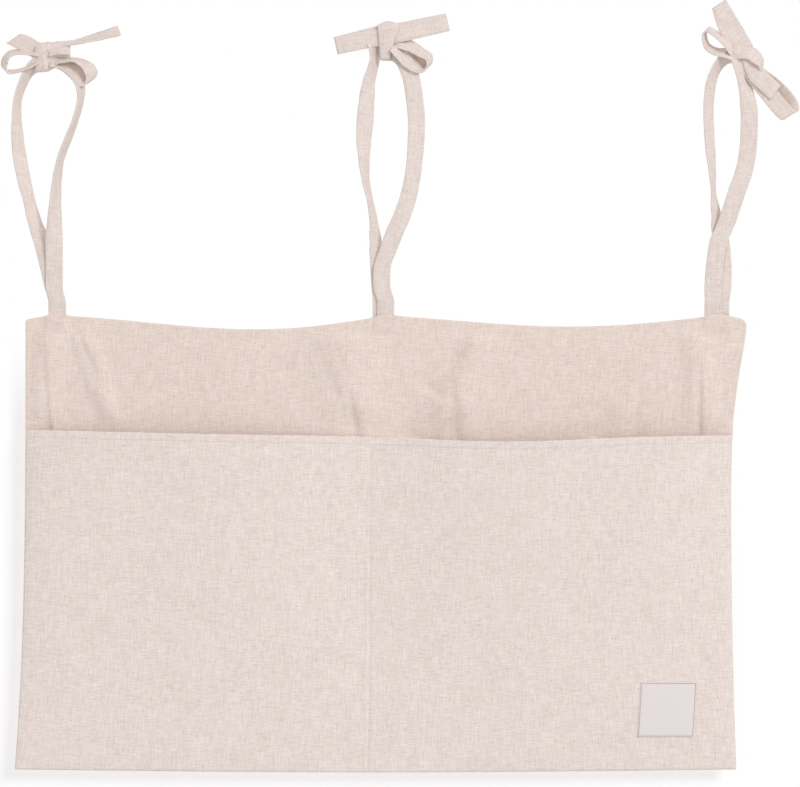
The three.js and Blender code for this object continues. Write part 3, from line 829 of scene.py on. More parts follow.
    def cloth_grid(self, front: bool) -> tuple[Grid, Grid, Grid]:
        """One cloth of the panel.

        Args:
            front: True for the front cloth, False for the rear one.

        Returns:
            Its outer points, its inner points and their places on the flat cloth.
        """
        line = self.outline
        ties = [line.half - line.tie_x, line.half, line.half + line.tie_x]
        us = self.lines(line.width, ties, self.fine if front else 0.0)
        vs = self.lines(line.height, [], self.coarse, line.mouth_drop + 14 if front else 0.0)
        u, v = np.meshgrid(us, vs)
        x, z, tall, near = line.lay(u, v, line.top)
        near = np.minimum(near, v * tall)
        tie = self.at_ties(x, z)
        turned = round_off(near / self.roll)
        full = turned + (1 - turned) * np.clip(tie, 0, 1)
        outer = self.outer[0] + self.outer[1] * full - self.tie_sink * tie * (1 - round_off(near / 0.5))
        inner = self.inner[0] + self.inner[1] * full
        side, lift = (-1, self.tie_lift[0] * tie) if front else (1, self.tie_lift[1] * tie)
        plane = self.seam_plane - self.fold_at(x, z) + self.shared(x, z, near)
        plane = plane + sum(c.at(x, z) for c in self.creases)
        outside, inside = (np.stack([x, plane + side * (y + lift), z], axis=-1) for y in (outer, inner))
        x0 = line.flat_x(u)
        return outside, inside, np.stack([x0 if front else self.rear_offset - x0, z], axis=-1)

    def gape_at(self, u: Grid, v: Grid) -> Grid:
        """How far the pockets stand off the panel.

        Args:
            u: shares across.
            v: shares down from the mouth.

        Returns:
            The distance.
        """
        line = self.outline
        x0 = line.flat_x(u)
        is_left = x0 < self.centre_seam
        wide = np.where(is_left, line.half + self.centre_seam, line.half - self.centre_seam)
        s = np.where(is_left, x0 + line.half, x0 - self.centre_seam) / wide
        is_outer = (s < 0.5) == is_left
        power = np.where(is_outer, self.outer_roundness, self.inner_roundness)
        across = np.sin(np.pi * np.clip(s, 0, 1)) ** power
        return self.gape * across * (1 - v) ** self.belly

    def pocket_sides(self, u: Grid, v: Grid) -> tuple[Grid, Grid, Grid, Grid]:
        """The pockets' cloth at u, v.

        Args:
            u: shares across.
            v: shares down from the mouth.

        Returns:
            x, z, the front's y and the back's y.
        """
        line = self.outline
        x, z, tall, near = line.lay(u, v, line.mouth)
        turned = round_off(np.maximum(near, 0) / self.roll)
        gape = self.gape_at(u, v)
        stand = gape + sum(r.at(x, z) for r in self.swell) * np.minimum(1, gape / self.full_swell)
        plane = self.seam_plane + self.shared(x, z, near) - stand
        row = bump((v * tall - self.hem_row) / self.hem_groove[0]) * self.hem_groove[1]
        off = line.flat_x(u) - self.centre_seam
        groove = bump(off / self.seam_groove[0]) * self.seam_groove[1]
        ridge = bump((off + self.ridge_shift) / self.seam_ridge[0]) * self.seam_ridge[1]
        seam = (groove - ridge) * smooth(v / 0.6)
        faces = (self.pocket_outer, self.pocket_inner)
        front, back = (plane - (edge + gain * turned) for edge, gain in faces)
        return x, z, front + row + seam, back

    def on_pocket(self, x: Grid, z: Grid, lift: float) -> Grid:
        """Points on the pockets' front at x, z, lifted off it.

        Args:
            x: places across, in millimetres.
            z: their heights, in millimetres.
            lift: how far off the cloth they are.

        Returns:
            The points.
        """
        line = self.outline
        left, right = line.sides(z)
        u = (x - left) / (right - left)
        x0 = line.flat_x(u)
        v = (line.mouth(x0) - z) / (line.mouth(x0) - line.bottom(x0))
        _, _, front, _ = self.pocket_sides(u, v)
        return np.stack([x, front - lift, z], axis=-1)

    def pocket_skin(self) -> Skin:
        """The pockets' cloth, with its hem turned in behind the mouth.

        Returns:
            The cloth's mesh.
        """
        line = self.outline
        tall = line.height - line.mouth_drop
        us = self.lines(line.width, [line.half + self.centre_seam])
        vs = self.lines(tall, [self.hem_row, self.hem])
        vs = vs[vs * tall > 0.75]
        u, v = np.meshgrid(us, vs)
        x, z, front, back = self.pocket_sides(u, v)
        gape = self.gape_at(u, v)
        doubled = (1 - smooth((v * tall - self.hem) / 0.5)) * np.minimum(1, gape / 1.0)
        back = back + self.cloth * 0.95 * doubled
        x_lip, z_lip, _, _ = line.lay(us, 0 * us, line.mouth)
        radius = (back[0] - front[0]) / 2
        middle = (back[0] + front[0]) / 2
        turns = np.linspace(-80, 80, 9) * math.pi / 180
        drop = z_lip - z[0]
        lip = [np.stack([x_lip, middle + radius * math.sin(t), z[0] + drop * math.cos(t)], -1) for t in turns]
        rows = len(vs)
        profile = np.concatenate([np.stack([x, front, z], -1)[::-1], lip, np.stack([x, back, z], -1)])
        x0 = line.flat_x(u)
        down = np.concatenate([z[::-1], np.repeat(z[:1], len(turns), 0) + 0.6, 2 * z[:1] - z])
        across = np.concatenate([x0, np.repeat(x0[:1], len(turns), 0), x0])
        flat = np.stack([across + self.pocket_offset, down], axis=-1)
        skin = Skin()
        numbers = np.arange(profile.shape[0] * len(us)).reshape(profile.shape[0], len(us))
        numbers = numbers + skin.add(profile, flat)
        skin.patch(numbers)
        skin.patch(np.stack([numbers[-1], numbers[0]]))
        for column, flip in ((0, 1), (-1, -1)):
            front_side, back_side = numbers[:rows, column], numbers[-rows:, column][::-1]
            skin.patch(np.stack([front_side, back_side])[::flip])
            tip = numbers[rows - 1 : -rows + 1, column].tolist()
            skin.faces.append(tuple(tip[::flip]))
        return skin


@dataclass(frozen=True)
class Label:
    """The bare ribbon label, sewn on by its edges."""

    width: float = 39.0
    height: float = 38.0
    thickness: float = 0.5
    x: float = 194.2
    z: float = -272.3
    lean: float = 2.2
    inset: float = 0.8
    gap: float = 0.12
    edge_radius: float = 0.55
    groove: Pair = (0.6, 0.16)
    bow: float = 0.14
    wave: Ripple = Ripple(21, 11, 0.12)

    def place(self, x: Grid, z: Grid) -> tuple[Grid, Grid]:
        """The place on the panel of millimetres right of the label's middle and up from it."""
        return self.x + x + self.lean * z / self.height, self.z + z

    def skin(self, panel: Panel) -> Skin:
        """The ribbon's mesh on the pocket.

        Args:
            panel: the panel that it is sewn to.

        Returns:
            The mesh.
        """
        near = (0.1, 0.25, 0.5, 0.9, 1.4)
        us = ticks(self.width, 1.3, [0, self.width], near)
        vs = ticks(self.height, 1.3, [0, self.height], near)
        u, v = np.meshgrid(us, vs)
        x, z = self.place((u - 0.5) * self.width, (0.5 - v) * self.height)
        edge = np.minimum.reduce([u, 1 - u]) * self.width
        edge = np.minimum(edge, np.minimum(v, 1 - v) * self.height)
        turned = round_off(edge / self.edge_radius)
        base = panel.on_pocket(x, z, self.gap)
        bow = (self.wave.at(x, z) + self.bow) * smooth((edge - 1.0) / 5)
        groove = self.groove[1] * bump((edge - self.inset) / self.groove[0])
        front = base - np.stack([0 * x, self.thickness * (0.25 + 0.75 * turned) + bow - groove, 0 * x], -1)
        back = base - np.stack([0 * x, bow * 0.9, 0 * x], -1)
        skin = Skin()
        skin.shell(front, back, np.stack([(u - 0.5) * self.width, (0.5 - v) * self.height], -1))
        return skin

    def edge(self) -> tuple[Grid, Grid]:
        """The stitching line round the label, closed.

        Returns:
            The line's x and z.
        """
        w, h = self.width / 2 - self.inset, self.height / 2 - self.inset
        corners = np.array([[-w, -h], [w, -h], [w, h], [-w, h], [-w, -h]])
        steps = np.linspace(0, 1, 25)[:-1, None]
        sides = [a + (b - a) * steps for a, b in zip(corners[:-1], corners[1:])]
        path = np.concatenate([*sides, corners[-1:]])
        return self.place(path[:, 0], path[:, 1])


# Stitching


class StitchInput(Enum):
    """The named inputs of the stitch tree."""

    PITCH = "Pitch"
    LENGTH = "Length"
    THICKNESS = "Thickness"
    UNEVEN = "Unevenness"
    THREAD = "Thread"


@dataclass(frozen=True)
class StitchTree:
    """A geometry tree that lays single stitches along a line."""

    name: str = "stitch_row"
    seed: int = 4
    segments: int = 8
    rings: int = 6

    def build(self) -> bpy.types.NodeTree:
        """Makes the tree.

        Returns:
            The tree.
        """
        tree = bpy.data.node_groups.new(self.name, "GeometryNodeTree")
        kinds = {"Geometry": "Geometry"} | {item.value: "Float" for item in StitchInput}
        kinds[StitchInput.THREAD.value] = "Material"
        for name, kind in kinds.items():
            tree.interface.new_socket(name, in_out="INPUT", socket_type="NodeSocket" + kind)
        tree.interface.new_socket("Geometry", in_out="OUTPUT", socket_type="NodeSocketGeometry")
        bench = Bench(tree)
        group = bench.node("NodeGroupInput").outputs
        pitch, length, thick, uneven, thread = (group[item.value] for item in StitchInput)
        line = bench.wire("GeometryNodeMeshToCurve", {"Mesh": group["Geometry"]})
        walk = {"Curve": line, "Length": pitch}
        points = bench.node("GeometryNodeCurveToPoints", walk, mode="LENGTH").outputs
        ball = {"Segments": self.segments, "Rings": self.rings, "Radius": 0.5}
        bead = bench.wire("GeometryNodeMeshUVSphere", ball, "Mesh")
        size = bench.wire("ShaderNodeCombineXYZ", {"X": thick, "Y": thick, "Z": length})
        either_way = {0: (-1, -1, -1), 1: (1, 1, 1), "Seed": self.seed}
        wobble = bench.wire("FunctionNodeRandomValue", either_way, data_type="FLOAT_VECTOR")
        amount = bench.wire("ShaderNodeVectorMath", {0: wobble, "Scale": uneven}, operation="SCALE")
        turns = {"Rotation": points["Rotation"], "Rotate By": amount}
        turn = bench.wire("FunctionNodeRotateRotation", turns, rotation_space="LOCAL")
        instances = {"Points": points["Points"], "Instance": bead, "Rotation": turn, "Scale": size}
        laid = bench.wire("GeometryNodeInstanceOnPoints", instances)
        solid = bench.wire("GeometryNodeRealizeInstances", {"Geometry": laid})
        shade = bench.wire("GeometryNodeSetShadeSmooth", {"Geometry": solid})
        done = bench.wire("GeometryNodeSetMaterial", {"Geometry": shade, "Material": thread})
        bench.node("NodeGroupOutput", {0: done})
        return tree


@dataclass(frozen=True)
class StitchRow:
    """A row of stitches on the pocket or the label."""

    name: str
    pitch: float = 3.0
    length: float = 2.5
    thickness: float = 0.55
    uneven: float = 0.05

    def build(self, tree: bpy.types.NodeTree, path: Grid, thread: bpy.types.Material) -> bpy.types.Object:
        """Lays the row.

        Args:
            tree: the stitch tree.
            path: the line's points in millimetres.
            thread: the thread's material.

        Returns:
            The row as a plain mesh.
        """
        line = bpy.data.meshes.new(self.name + "_line")
        points = (path + [0, 0, SEAM_HEIGHT]) * MM
        line.from_pydata(points.tolist(), [(i, i + 1) for i in range(len(points) - 1)], [])
        carrier = add_object(line.name, line)
        modifier = carrier.modifiers.new("stitches", "NODES")
        modifier.node_group = tree
        sizes = (self.pitch * MM, self.length * MM, self.thickness * MM, self.uneven, thread)
        values = dict(zip(StitchInput, sizes))
        for item in tree.interface.items_tree:
            if item.in_out == "INPUT" and item.socket_type != "NodeSocketGeometry":
                modifier[item.identifier] = values[StitchInput(item.name)]
        bpy.context.view_layer.update()
        laid = carrier.evaluated_get(bpy.context.evaluated_depsgraph_get())
        mesh = bpy.data.meshes.new_from_object(laid)
        mesh.name = self.name
        bpy.data.objects.remove(carrier)
        return add_object(self.name, mesh)


# The ties


class Place(Enum):
    """The three ties, by where they are sewn in."""

    LEFT = "left"
    MIDDLE = "middle"
    RIGHT = "right"


class Side(Enum):
    """The two tapes of a tie."""

    FRONT = "front"
    REAR = "rear"


def catmull(points: Grid, at: Grid) -> tuple[Grid, Grid]:
    """A centripetal curve through points.

    Args:
        points: the points that it passes.
        at: places on it, in spans from the first point.

    Returns:
        The curve's points and its directions there.
    """
    ends = np.concatenate([[2 * points[0] - points[1]], points, [2 * points[-1] - points[-2]]])
    i = np.minimum(np.floor(at).astype(int), len(points) - 2)
    w = (at - i)[:, None]
    p = [ends[i + k] for k in range(4)]
    d = [np.maximum(np.linalg.norm(p[k + 1] - p[k], axis=1), 1e-4)[:, None] ** 0.5 for k in range(3)]
    t1 = ((p[1] - p[0]) / d[0] - (p[2] - p[0]) / (d[0] + d[1]) + (p[2] - p[1]) / d[1]) * d[1]
    t2 = ((p[2] - p[1]) / d[1] - (p[3] - p[1]) / (d[1] + d[2]) + (p[3] - p[2]) / d[2]) * d[1]
    c2 = -3 * p[1] + 3 * p[2] - 2 * t1 - t2
    c3 = 2 * p[1] - 2 * p[2] + t1 + t2
    direction = t1 + 2 * c2 * w + 3 * c3 * w * w
    direction /= np.linalg.norm(direction, axis=1)[:, None]
    return p[1] + t1 * w + c2 * w * w + c3 * w**3, direction


Route = Sequence[tuple[float, ...]]


def ribbon(count: int, radius: float) -> tuple[Grid, Grid, Grid]:
    """A flat ribbon's cross-section.

    Args:
        count: the points across one face.
        radius: half of the thickness, and the radius of the edges.

    Returns:
        The points' shares across, from -1 to 1, what the rounded edges add to them, and the offsets through.
    """
    face = np.linspace(-1, 1, count)
    bend = np.radians(np.linspace(-60, 60, 5))
    share = np.concatenate([face, np.ones(5), face[::-1], -np.ones(5)])
    edge = np.concatenate([face * 0, radius * np.cos(bend), face * 0, -radius * np.cos(bend)])
    rise = radius * np.sin(bend)
    through = np.concatenate([face * 0 - radius, rise, face * 0 + radius, -rise])
    return share, edge, through


@dataclass(frozen=True)
class Tape:
    """Flat tie tape, folded and sewn.

    A route's points are x, layer, z, turn and tilt; left out, the last two are 0. x and z are millimetres from
    the tie's root, layer counts tapes that lie on each other towards the rear, turn is the direction of the
    tape's width in degrees from +X and tilt how far it turns to the rear.
    """

    width: float = 12.0
    thickness: float = 1.4
    layer: float = 1.7
    step: float = 1.6
    flat_points: int = 7
    cup: Ripple = Ripple(31, 26, 0.35)
    limp: Ripple = Ripple(33, 9, 0.10)
    widening: float = 0.62
    thin: float = 0.64
    end_round: float = 0.7
    calm: float = 12.0
    spacing: float = 300.0

    def frames(self, points: Grid, turns: Grid, tilts: Grid) -> tuple[Grid, Grid, Grid]:
        """Centres, width directions and thickness directions along a route.

        Args:
            points: the route's points.
            turns: the turn at each of them.
            tilts: the tilt at each of them.

        Returns:
            The three of them at each step of the tape.
        """
        spans = np.linalg.norm(np.diff(points, axis=0), axis=1)
        at = [i + np.arange(n := max(1, round(s / self.step))) / n for i, s in enumerate(spans)]
        at = np.concatenate([*at, [len(spans)]])
        centre, along = catmull(points, at)
        a, b = np.radians(turns), np.radians(tilts)
        directions = np.stack([np.cos(a) * np.cos(b), np.sin(b), np.sin(a) * np.cos(b)], axis=-1)
        i = np.minimum(np.floor(at).astype(int), len(spans) - 1)
        share = smooth(at - i)[:, None]
        across = directions[i] * (1 - share) + directions[i + 1] * share
        across /= np.linalg.norm(across, axis=1)[:, None]
        normal = np.cross(along, across)
        normal /= np.linalg.norm(normal, axis=1)[:, None]
        return centre, across, normal

    def add(
        self,
        skin: Skin,
        route: Route,
        x: float,
        widths: Pair = (12.0, 12.0),
        seed: int = 0,
        root: Grid | None = None,
    ) -> float:
        """Adds a stretch of tape to a skin.

        Args:
            skin: the skin that it goes to.
            route: the stretch's points.
            x: where the tie is sewn in.
            widths: the tape's width at the start, and the one that it widens to.
            seed: shifts the unevenness.
            root: points of x, y, z before the route, in the top seam.

        Returns:
            The stretch's length.
        """
        table = np.array([(*point, 0, 0)[:5] for point in route], float)
        points = table[:, :3] * [1, self.layer, 1]
        turns, tilts = table[:, 3], table[:, 4]
        if root is not None:
            points = np.concatenate([root, points[1:]])
            turns = np.concatenate([np.zeros(len(root)), turns[1:]])
            tilts = np.concatenate([np.zeros(len(root)), tilts[1:]])
        centre, across, normal = self.frames(points, turns, tilts)
        run = np.concatenate([[0], np.cumsum(np.linalg.norm(np.diff(centre, axis=0), axis=1))])
        radius = self.thickness / 2
        share, edge, b = ribbon(self.flat_points, radius)
        narrow, full = (share * (width / 2 - radius) + edge for width in widths)
        wider = smooth(run / (run[-1] * self.widening))[:, None]
        a = narrow[None] * (1 - wider) + full[None] * wider
        ends = round_off(np.minimum(run, run[-1] - run) / self.end_round) * 0.5 + 0.5
        thin = 1.0 if root is None else self.thin + (1 - self.thin) * smooth((centre[:, 2] + 2.5) / 11.5)
        part = full / (self.width / 2)
        wave = self.cup.at(run + 77 * seed, 0 * run)[:, None] * (part[None] ** 2 - 0.35)
        wave = wave + self.limp.at(run[:, None] + 55 * seed, a)
        wave = wave * smooth((run if root is None else run - self.calm) / self.calm)[:, None]
        through = b[None] * (ends * thin)[:, None] + wave
        rings = centre[:, None] + across[:, None] * a[..., None] + normal[:, None] * through[..., None]
        rings[..., 0] += x
        cloth = np.stack(np.broadcast_arrays(a, run[:, None] + self.spacing * seed), axis=-1)
        skin.sweep(rings, cloth)
        return float(run[-1])


@dataclass(frozen=True)
class Wrap:
    """The tape drawn round a knot, gathered into creases.

    x, z and turn place its middle, long is its length along its turn, and top and bottom are its widths.
    lean shifts its top against its bottom, bow bends it sideways and dome rounds its top.
    """

    x: float
    z: float
    turn: float
    long: float
    top: float
    bottom: float
    lean: float = 0.0
    bow: float = 0.0
    dome: float = 0.0
    bulge: float = 1.2
    creases: float = 2.5
    crease_depth: float = 0.45
    phase: float = 0.0
    radius: float = 1.7
    thickness: float = 1.4
    flat_points: int = 17

    def add(self, skin: Skin, x: float) -> float:
        """Adds the wrap to a skin.

        Args:
            skin: the skin that it goes to.
            x: where the tie is sewn in.

        Returns:
            The length of its tape.
        """
        reach = self.long / 2 - self.radius - self.thickness / 2
        turns = np.linspace(0, math.pi, 13)
        straight = np.linspace(-reach, reach, 11)[1:-1]
        y = np.concatenate([np.cos(turns), -np.ones(9), -np.cos(turns), np.ones(9)])
        over = reach + np.sin(turns) * self.radius
        up = np.concatenate([over, straight[::-1], -over, straight])
        out_up = np.concatenate([np.sin(turns), np.zeros(9), -np.sin(turns), np.zeros(9)])
        height = np.clip((up + self.long / 2) / self.long, 0, 1)
        half = (self.bottom + (self.top - self.bottom) * height) / 2
        shift = self.lean * (height - 0.5) + self.bow * np.sin(np.pi * height)
        r = self.thickness / 2
        part, beyond, through = ribbon(self.flat_points, r)
        through = -through
        swell = self.bulge * (1 - part[None] ** 2) * (0.55 + 0.45 * bump((up / (self.long * 0.6)))[:, None])
        fan = self.creases * (0.7 + 0.6 * height)[:, None]
        crease = np.sin(math.pi * part[None] * fan + self.phase + 1.5 * height[:, None])
        crease = self.crease_depth * crease * (1 - part[None] ** 4) * smooth((part[None] + 0.5) / 0.9)
        outward = through[None] + np.where(through[None] > -r * 0.9, swell + crease, swell * 0.5)
        across = shift[:, None] + part[None] * (half[:, None] - r) + beyond[None]
        a = math.radians(self.turn)
        level = np.array([math.cos(a), 0, math.sin(a)])
        upward = np.array([-math.sin(a), 0, math.cos(a)])
        path = (y * self.radius)[:, None] * np.array([[0, 1, 0]]) + up[:, None] * upward
        normal = y[:, None] * np.array([[0, 1, 0]]) + out_up[:, None] * upward
        sunk = self.dome * part[None] ** 2 * smooth(height * 2 - 1)[:, None]
        rings = path[:, None] + across[..., None] * level - sunk[..., None] * upward
        rings = rings + normal[:, None] * outward[..., None]
        rings = rings + [x + self.x, 0, self.z]
        run = np.concatenate([[0], np.cumsum(np.linalg.norm(np.diff(path, axis=0), axis=1))])
        cloth = np.stack([across, np.broadcast_to(run[:, None] + 40, across.shape)], axis=-1)
        skin.sweep(rings, cloth, closed=True)
        return float(run[-1])


@dataclass(frozen=True)
class TieTape:
    """One tape of a tie: its run from the seam up to the bow, and what it does there."""

    place: Place
    side: Side
    run: Route
    parts: tuple[Route, ...] = ()
    wrap: Wrap | None = None
    strands: tuple[tuple[Pair, Route], ...] = ()
    root_x: float = 0.0

    @property
    def name(self) -> str:
        """The name of the node that it replaces."""
        return f"tie_{self.place.value}_{self.side.value}_tape"


ROOTS = {
    Side.FRONT: np.array([[0, 1.25, -9], [0, 1.25, -0.8], [0, 0.45, 4.6], [0, -0.85, 11]]),
    Side.REAR: np.array([[0, 2.2, -9], [0, 2.2, -0.8], [0, 1.8, 4.6], [0, 0.85, 11]]),
}

LEFT_FRONT = TieTape(
    Place.LEFT,
    Side.FRONT,
    run=(
        (0, -0.5, 0), (-1.4, -0.5, 16), (-1.7, -0.65, 37.5), (-1.8, -0.95, 52.5, 0, 8),
        (-1.5, -1.2, 66.5, 0, 43), (-0.9, -1.2, 80.3, 0, 58), (0.2, -1.2, 94.2, 0, 68),
        (2.6, -1.2, 108, 0, 75), (7.8, -1.2, 121.9, 0, 75), (13.1, -1.2, 135.7, 0, 79),
        (16.6, -1.2, 149.6, 4, 77), (16.5, -1.2, 158, 12, 67), (13, -1.2, 165.5, 35, 62),
        (7.5, -1.1, 171.5, 60, 52), (1, -1, 176, 75, 38), (-4.5, -1, 177.5, 85, 25),
    ),
    parts=(
        (
            (-3, 2.0, 187.6, 92, 60), (5, 1.8, 189, 96, 68), (11, 1.1, 189.7, 100, 70),
            (16, 0.3, 190.5, 103, 66), (21.8, -0.5, 191.8, 105, 61.5), (31.5, -0.9, 194.1, 106, 55),
            (43.4, -1, 197.5, 113, 47),
        ),
        (
            (-5, -1, 178.5, 90), (4, -1.5, 177, 88, 66), (12, -1.8, 177.1, 80, 73),
            (18.6, -1.9, 174.9, 62, 62), (22.9, -1.6, 170.8, 46, 45), (24.4, -1.2, 165.9, 40, 38),
            (22.4, -1.0, 162.2, 42, 38), (18.2, -1.0, 162.4, 48, 36), (14.3, -1.1, 166.5, 54, 34),
            (11, -1.2, 169.9, 58, 34), (6, -1.2, 173.6, 64, 36),
            (1, -1.1, 176.4, 74, 30), (-4, -1, 178, 84, 20),
        ),
    ),
    strands=(
        ((12.0, 12.0), ((-5.5, -1.1, 184.4, 92, 30), (2, -1.6, 184.8, 93, 44), (9.6, -1.7, 184.4, 95, 46))),
        ((3.6, 3.6), ((-5, -1.7, 179.6, 92, -48), (3, -1.9, 180.2, 93, -48), (9.4, -1.8, 180.4, 95, -48))),
        (
            (8.5, 8.5),
            ((4, 0.6, 175.8, 66), (10, 0.8, 173.6, 52), (15.5, 0.9, 169.6, 38), (18, 0.9, 166.2, 30)),
        ),
    ),
    wrap=Wrap(
        -8.2, 179.4, 13, 18.4, 11.6, 14.2,
        lean=3.0, bow=-0.9, bulge=1.4, creases=2.3, crease_depth=0.4, phase=0.9,
    ),
)

LEFT_REAR = TieTape(
    Place.LEFT,
    Side.REAR,
    run=(
        (0, 0.5, 0), (-2.2, 0.5, 18), (-7.2, 0.6, 39, 0, 5), (-11, 0.9, 52.6, 0, 18),
        (-15.9, 0.9, 66.5, 0, 44), (-19.5, 0.9, 80.3, 0, 54), (-22.3, 0.9, 91, 0, 46),
        (-25.6, 0.9, 108, 0, 44), (-27.4, 0.9, 124, 0, 54), (-28, 0.9, 138, 0, 67),
        (-27.4, 0.9, 149.6, -3, 73), (-25.6, 0.9, 156.5, -14, 72), (-22.8, 0.9, 163.6, -28, 69),
        (-20.3, 0.8, 168.5, -42, 64), (-16, 0.5, 173, -50, 52), (-11, 0.3, 177, -56, 30),
    ),
    parts=(
        (
            (-12, 0, 182.1, 90, 64), (-20, 0.1, 182.7, 92, 68), (-27.8, 0.2, 182.8, 100, 68),
            (-33.2, 0.3, 181, 116, 62), (-36, 0.3, 176.6, 134, 56), (-36.6, 0.3, 172.6, 140, 57),
            (-34.8, 0.3, 169.6, 134, 65), (-28.5, 0.25, 169.6, 122, 73), (-21.5, 0.15, 171.4, 114, 75),
            (-13.5, 0, 176, 108, 68),
        ),
        (
            (-5, 0.45, 181.6, 86), (-13, 0.6, 183.8, 82), (-19, 0.85, 186.9, 66),
            (-24.4, 0.9, 190, 48), (-30.3, 0.9, 192.4, 34),
        ),
    ),
)

MIDDLE_FRONT = TieTape(
    Place.MIDDLE,
    Side.FRONT,
    run=(
        (-0.5, -0.5, 0), (-2.9, -0.5, 19), (-3.2, -0.55, 28), (-2.4, -0.65, 36),
        (1.2, -0.85, 45.5, -8), (5.8, -1.1, 58, -20, 5), (10, -1.2, 67, -22, 8),
        (14.6, -1.2, 80, -14, 16), (17.6, -1.2, 93, -6, 24), (19.5, -1.2, 107, -3, 24),
        (20.7, -1.2, 124, 0, 14), (20.8, -1.2, 138, 3, 5), (19.6, -1.2, 149.6, 6),
        (18.2, -1.1, 160, 8), (16.2, -0.9, 168, 12), (13, 0.1, 175.5, 18), (8, 0.9, 181.5, 40),
    ),
    parts=(
        (
            (4.5, -0.8, 186.6, 58, 50), (9.6, -0.6, 181.4, 58, 42), (14.4, -0.5, 177.3, 58, 26),
            (19.2, -0.4, 173.3, 58, 38), (24, -0.2, 171, 58, 52), (28.2, 0.1, 171.9, 54, 58),
            (30, 0.4, 175.4, 50, 60), (29.2, 0.6, 179.6, 50, 58), (25, 0.7, 182, 52, 52),
            (19.6, 0.8, 185.4, 56, 46), (12, 1, 189, 60, 38), (5, 1.1, 191, 70, 12),
        ),
    ),
    strands=(
        ((8.8, 8.8), ((-3.4, 0.5, 181.3, 92), (3, 0.4, 181, 89), (9, 0.8, 180.2, 84))),
        ((9.0, 9.0), ((12, 2.2, 184, 58), (20, 2.3, 178.5, 56), (28.5, 2.3, 173.6, 50))),
    ),
    wrap=Wrap(0.3, 190.5, 0, 26.5, 15.4, 6.6, lean=2.6, dome=1.9, bulge=0.8, creases=1.0, crease_depth=0.12),
    root_x=-0.5,
)

MIDDLE_REAR = TieTape(
    Place.MIDDLE,
    Side.REAR,
    run=(
        (-3.5, 0.5, 0), (-4.3, 0.5, 20), (-4.9, 0.6, 30), (-5.6, 0.75, 41, 0, 14),
        (-7.4, 1.05, 53, 0, 50), (-8.9, 1.1, 66.5, 0, 66), (-11.4, 1.1, 80.3, 0, 73),
        (-14.4, 1.1, 94.2, 0, 67), (-15.4, 1.1, 108, 0, 53), (-15.5, 1.1, 121.9, 0, 31),
        (-14.7, 1.1, 135.7, -2, 13), (-13.5, 1.1, 149.6, -6, 28), (-11.8, 1.1, 163.4, -9, 48),
        (-9.6, 1.35, 171, -12, 58), (-8, 1.5, 178, -12, 60), (-7.6, 1.4, 184, -8, 42),
        (-8.4, 0.7, 190, -8, 10),
    ),
    parts=(
        ((-35, 0, 187, 103), (-5.5, 0, 192.9, 101), (8, 0, 195.3, 102), (42.7, 0, 203.3, 103)),
        ((-34.4, 0.8, 187.6, 104.9), (-4.2, 0.9, 195.6, 104.9), (2, 0.9, 197.2, 104.9)),
        ((4, 0.95, 196.3, 101), (9.5, 0.95, 197.4, 101), (42.0, 0.9, 203.8, 101.1)),
    ),
    root_x=-3.5,
)

RIGHT_FRONT = TieTape(
    Place.RIGHT,
    Side.FRONT,
    run=(
        (-1.7, -0.5, 0), (-1.9, -0.5, 19), (-1.3, -0.55, 29), (-0.3, -0.7, 39),
        (2, -1, 52.6, -8), (5.2, -1.1, 59.6, -16), (9.3, -1.2, 70, -20), (14.8, -1.2, 87, -18),
        (19.4, -1.2, 100, -12), (22, -1.2, 114, -4), (23, -1.2, 130), (22.9, -1.2, 143, 4),
        (21, -1.25, 155, 8, 28), (18.9, -1.2, 163, 10, 42), (17.2, -1.2, 170.5, 14, 38),
        (14.4, -1.05, 178, 20, 38),
    ),
    parts=(
        (
            (14.5, -0.2, 182.5, 50, 20), (11.2, -0.6, 185.3, 49, 40), (6.6, -0.9, 189.4, 48, 58),
            (2, -0.8, 193.4, 48, 62), (-2.2, -0.5, 196.6, 48, 62), (-5.6, -0.3, 198.3, 48, 62),
            (-7.6, -0.3, 196.3, 48, 62), (-7.6, -0.3, 191.4, 48, 62), (-6.2, -0.3, 187.2, 50, 60),
            (-3, -0.4, 184.4, 56, 58), (1.2, -0.5, 182.7, 64, 56), (6, -0.7, 182.1, 70, 50),
            (13.5, -0.4, 181.5, 80, 25),
        ),
        (
            (18.5, 1, 178.5, 62), (23.6, 1.2, 173.4, 56), (29, 1.3, 167.6, 52, -10),
            (38.2, 1.4, 161.5, 54, -32), (45.1, 1.4, 155.8, 46, -40), (50.8, 1.3, 149, 38, -40),
            (52.8, 0.8, 142.6, 33, -15), (52.4, 0, 139.9, 31), (49.8, -0.8, 139.2, 34),
            (45, -1.15, 143.6, 38), (39.2, -1.2, 150.4, 42), (33.8, -1.2, 157, 44),
            (28.6, -1.2, 163.4, 44), (23.4, -1.1, 171, 44), (18.5, -1, 178.5, 42),
        ),
    ),
    strands=(
        (
            (5.0, 12.4),
            (
                (17.5, -1.2, 184.5, 50), (19.6, -1.5, 180.4, 50), (23.4, -1.95, 172.6, 46),
                (27.6, -2.2, 166.7, 43), (32, -2.25, 162.8, 46), (36.4, -2.25, 158.7, 50),
                (41.2, -2.25, 154.3, 54),
            ),
        ),
        (
            (10.2, 10.2),
            (
                (14, -0.8, 182, 98, 20), (19.4, -2.0, 182.1, 92, 22), (24.3, -2.65, 181, 72, 14),
                (26.8, -2.65, 178.9, 50, 12), (29.4, -2.2, 176.1, 30, 36), (31, -1.2, 172.8, 18, 66),
                (31.5, -0.2, 169.8, 15, 74),
            ),
        ),
    ),
    wrap=Wrap(
        14.4, 181.7, -24, 11.4, 8.4, 8.4,
        dome=1.0, bulge=1.3, creases=1.0, crease_depth=0.1, phase=0.6,
    ),
    root_x=-1.7,
)

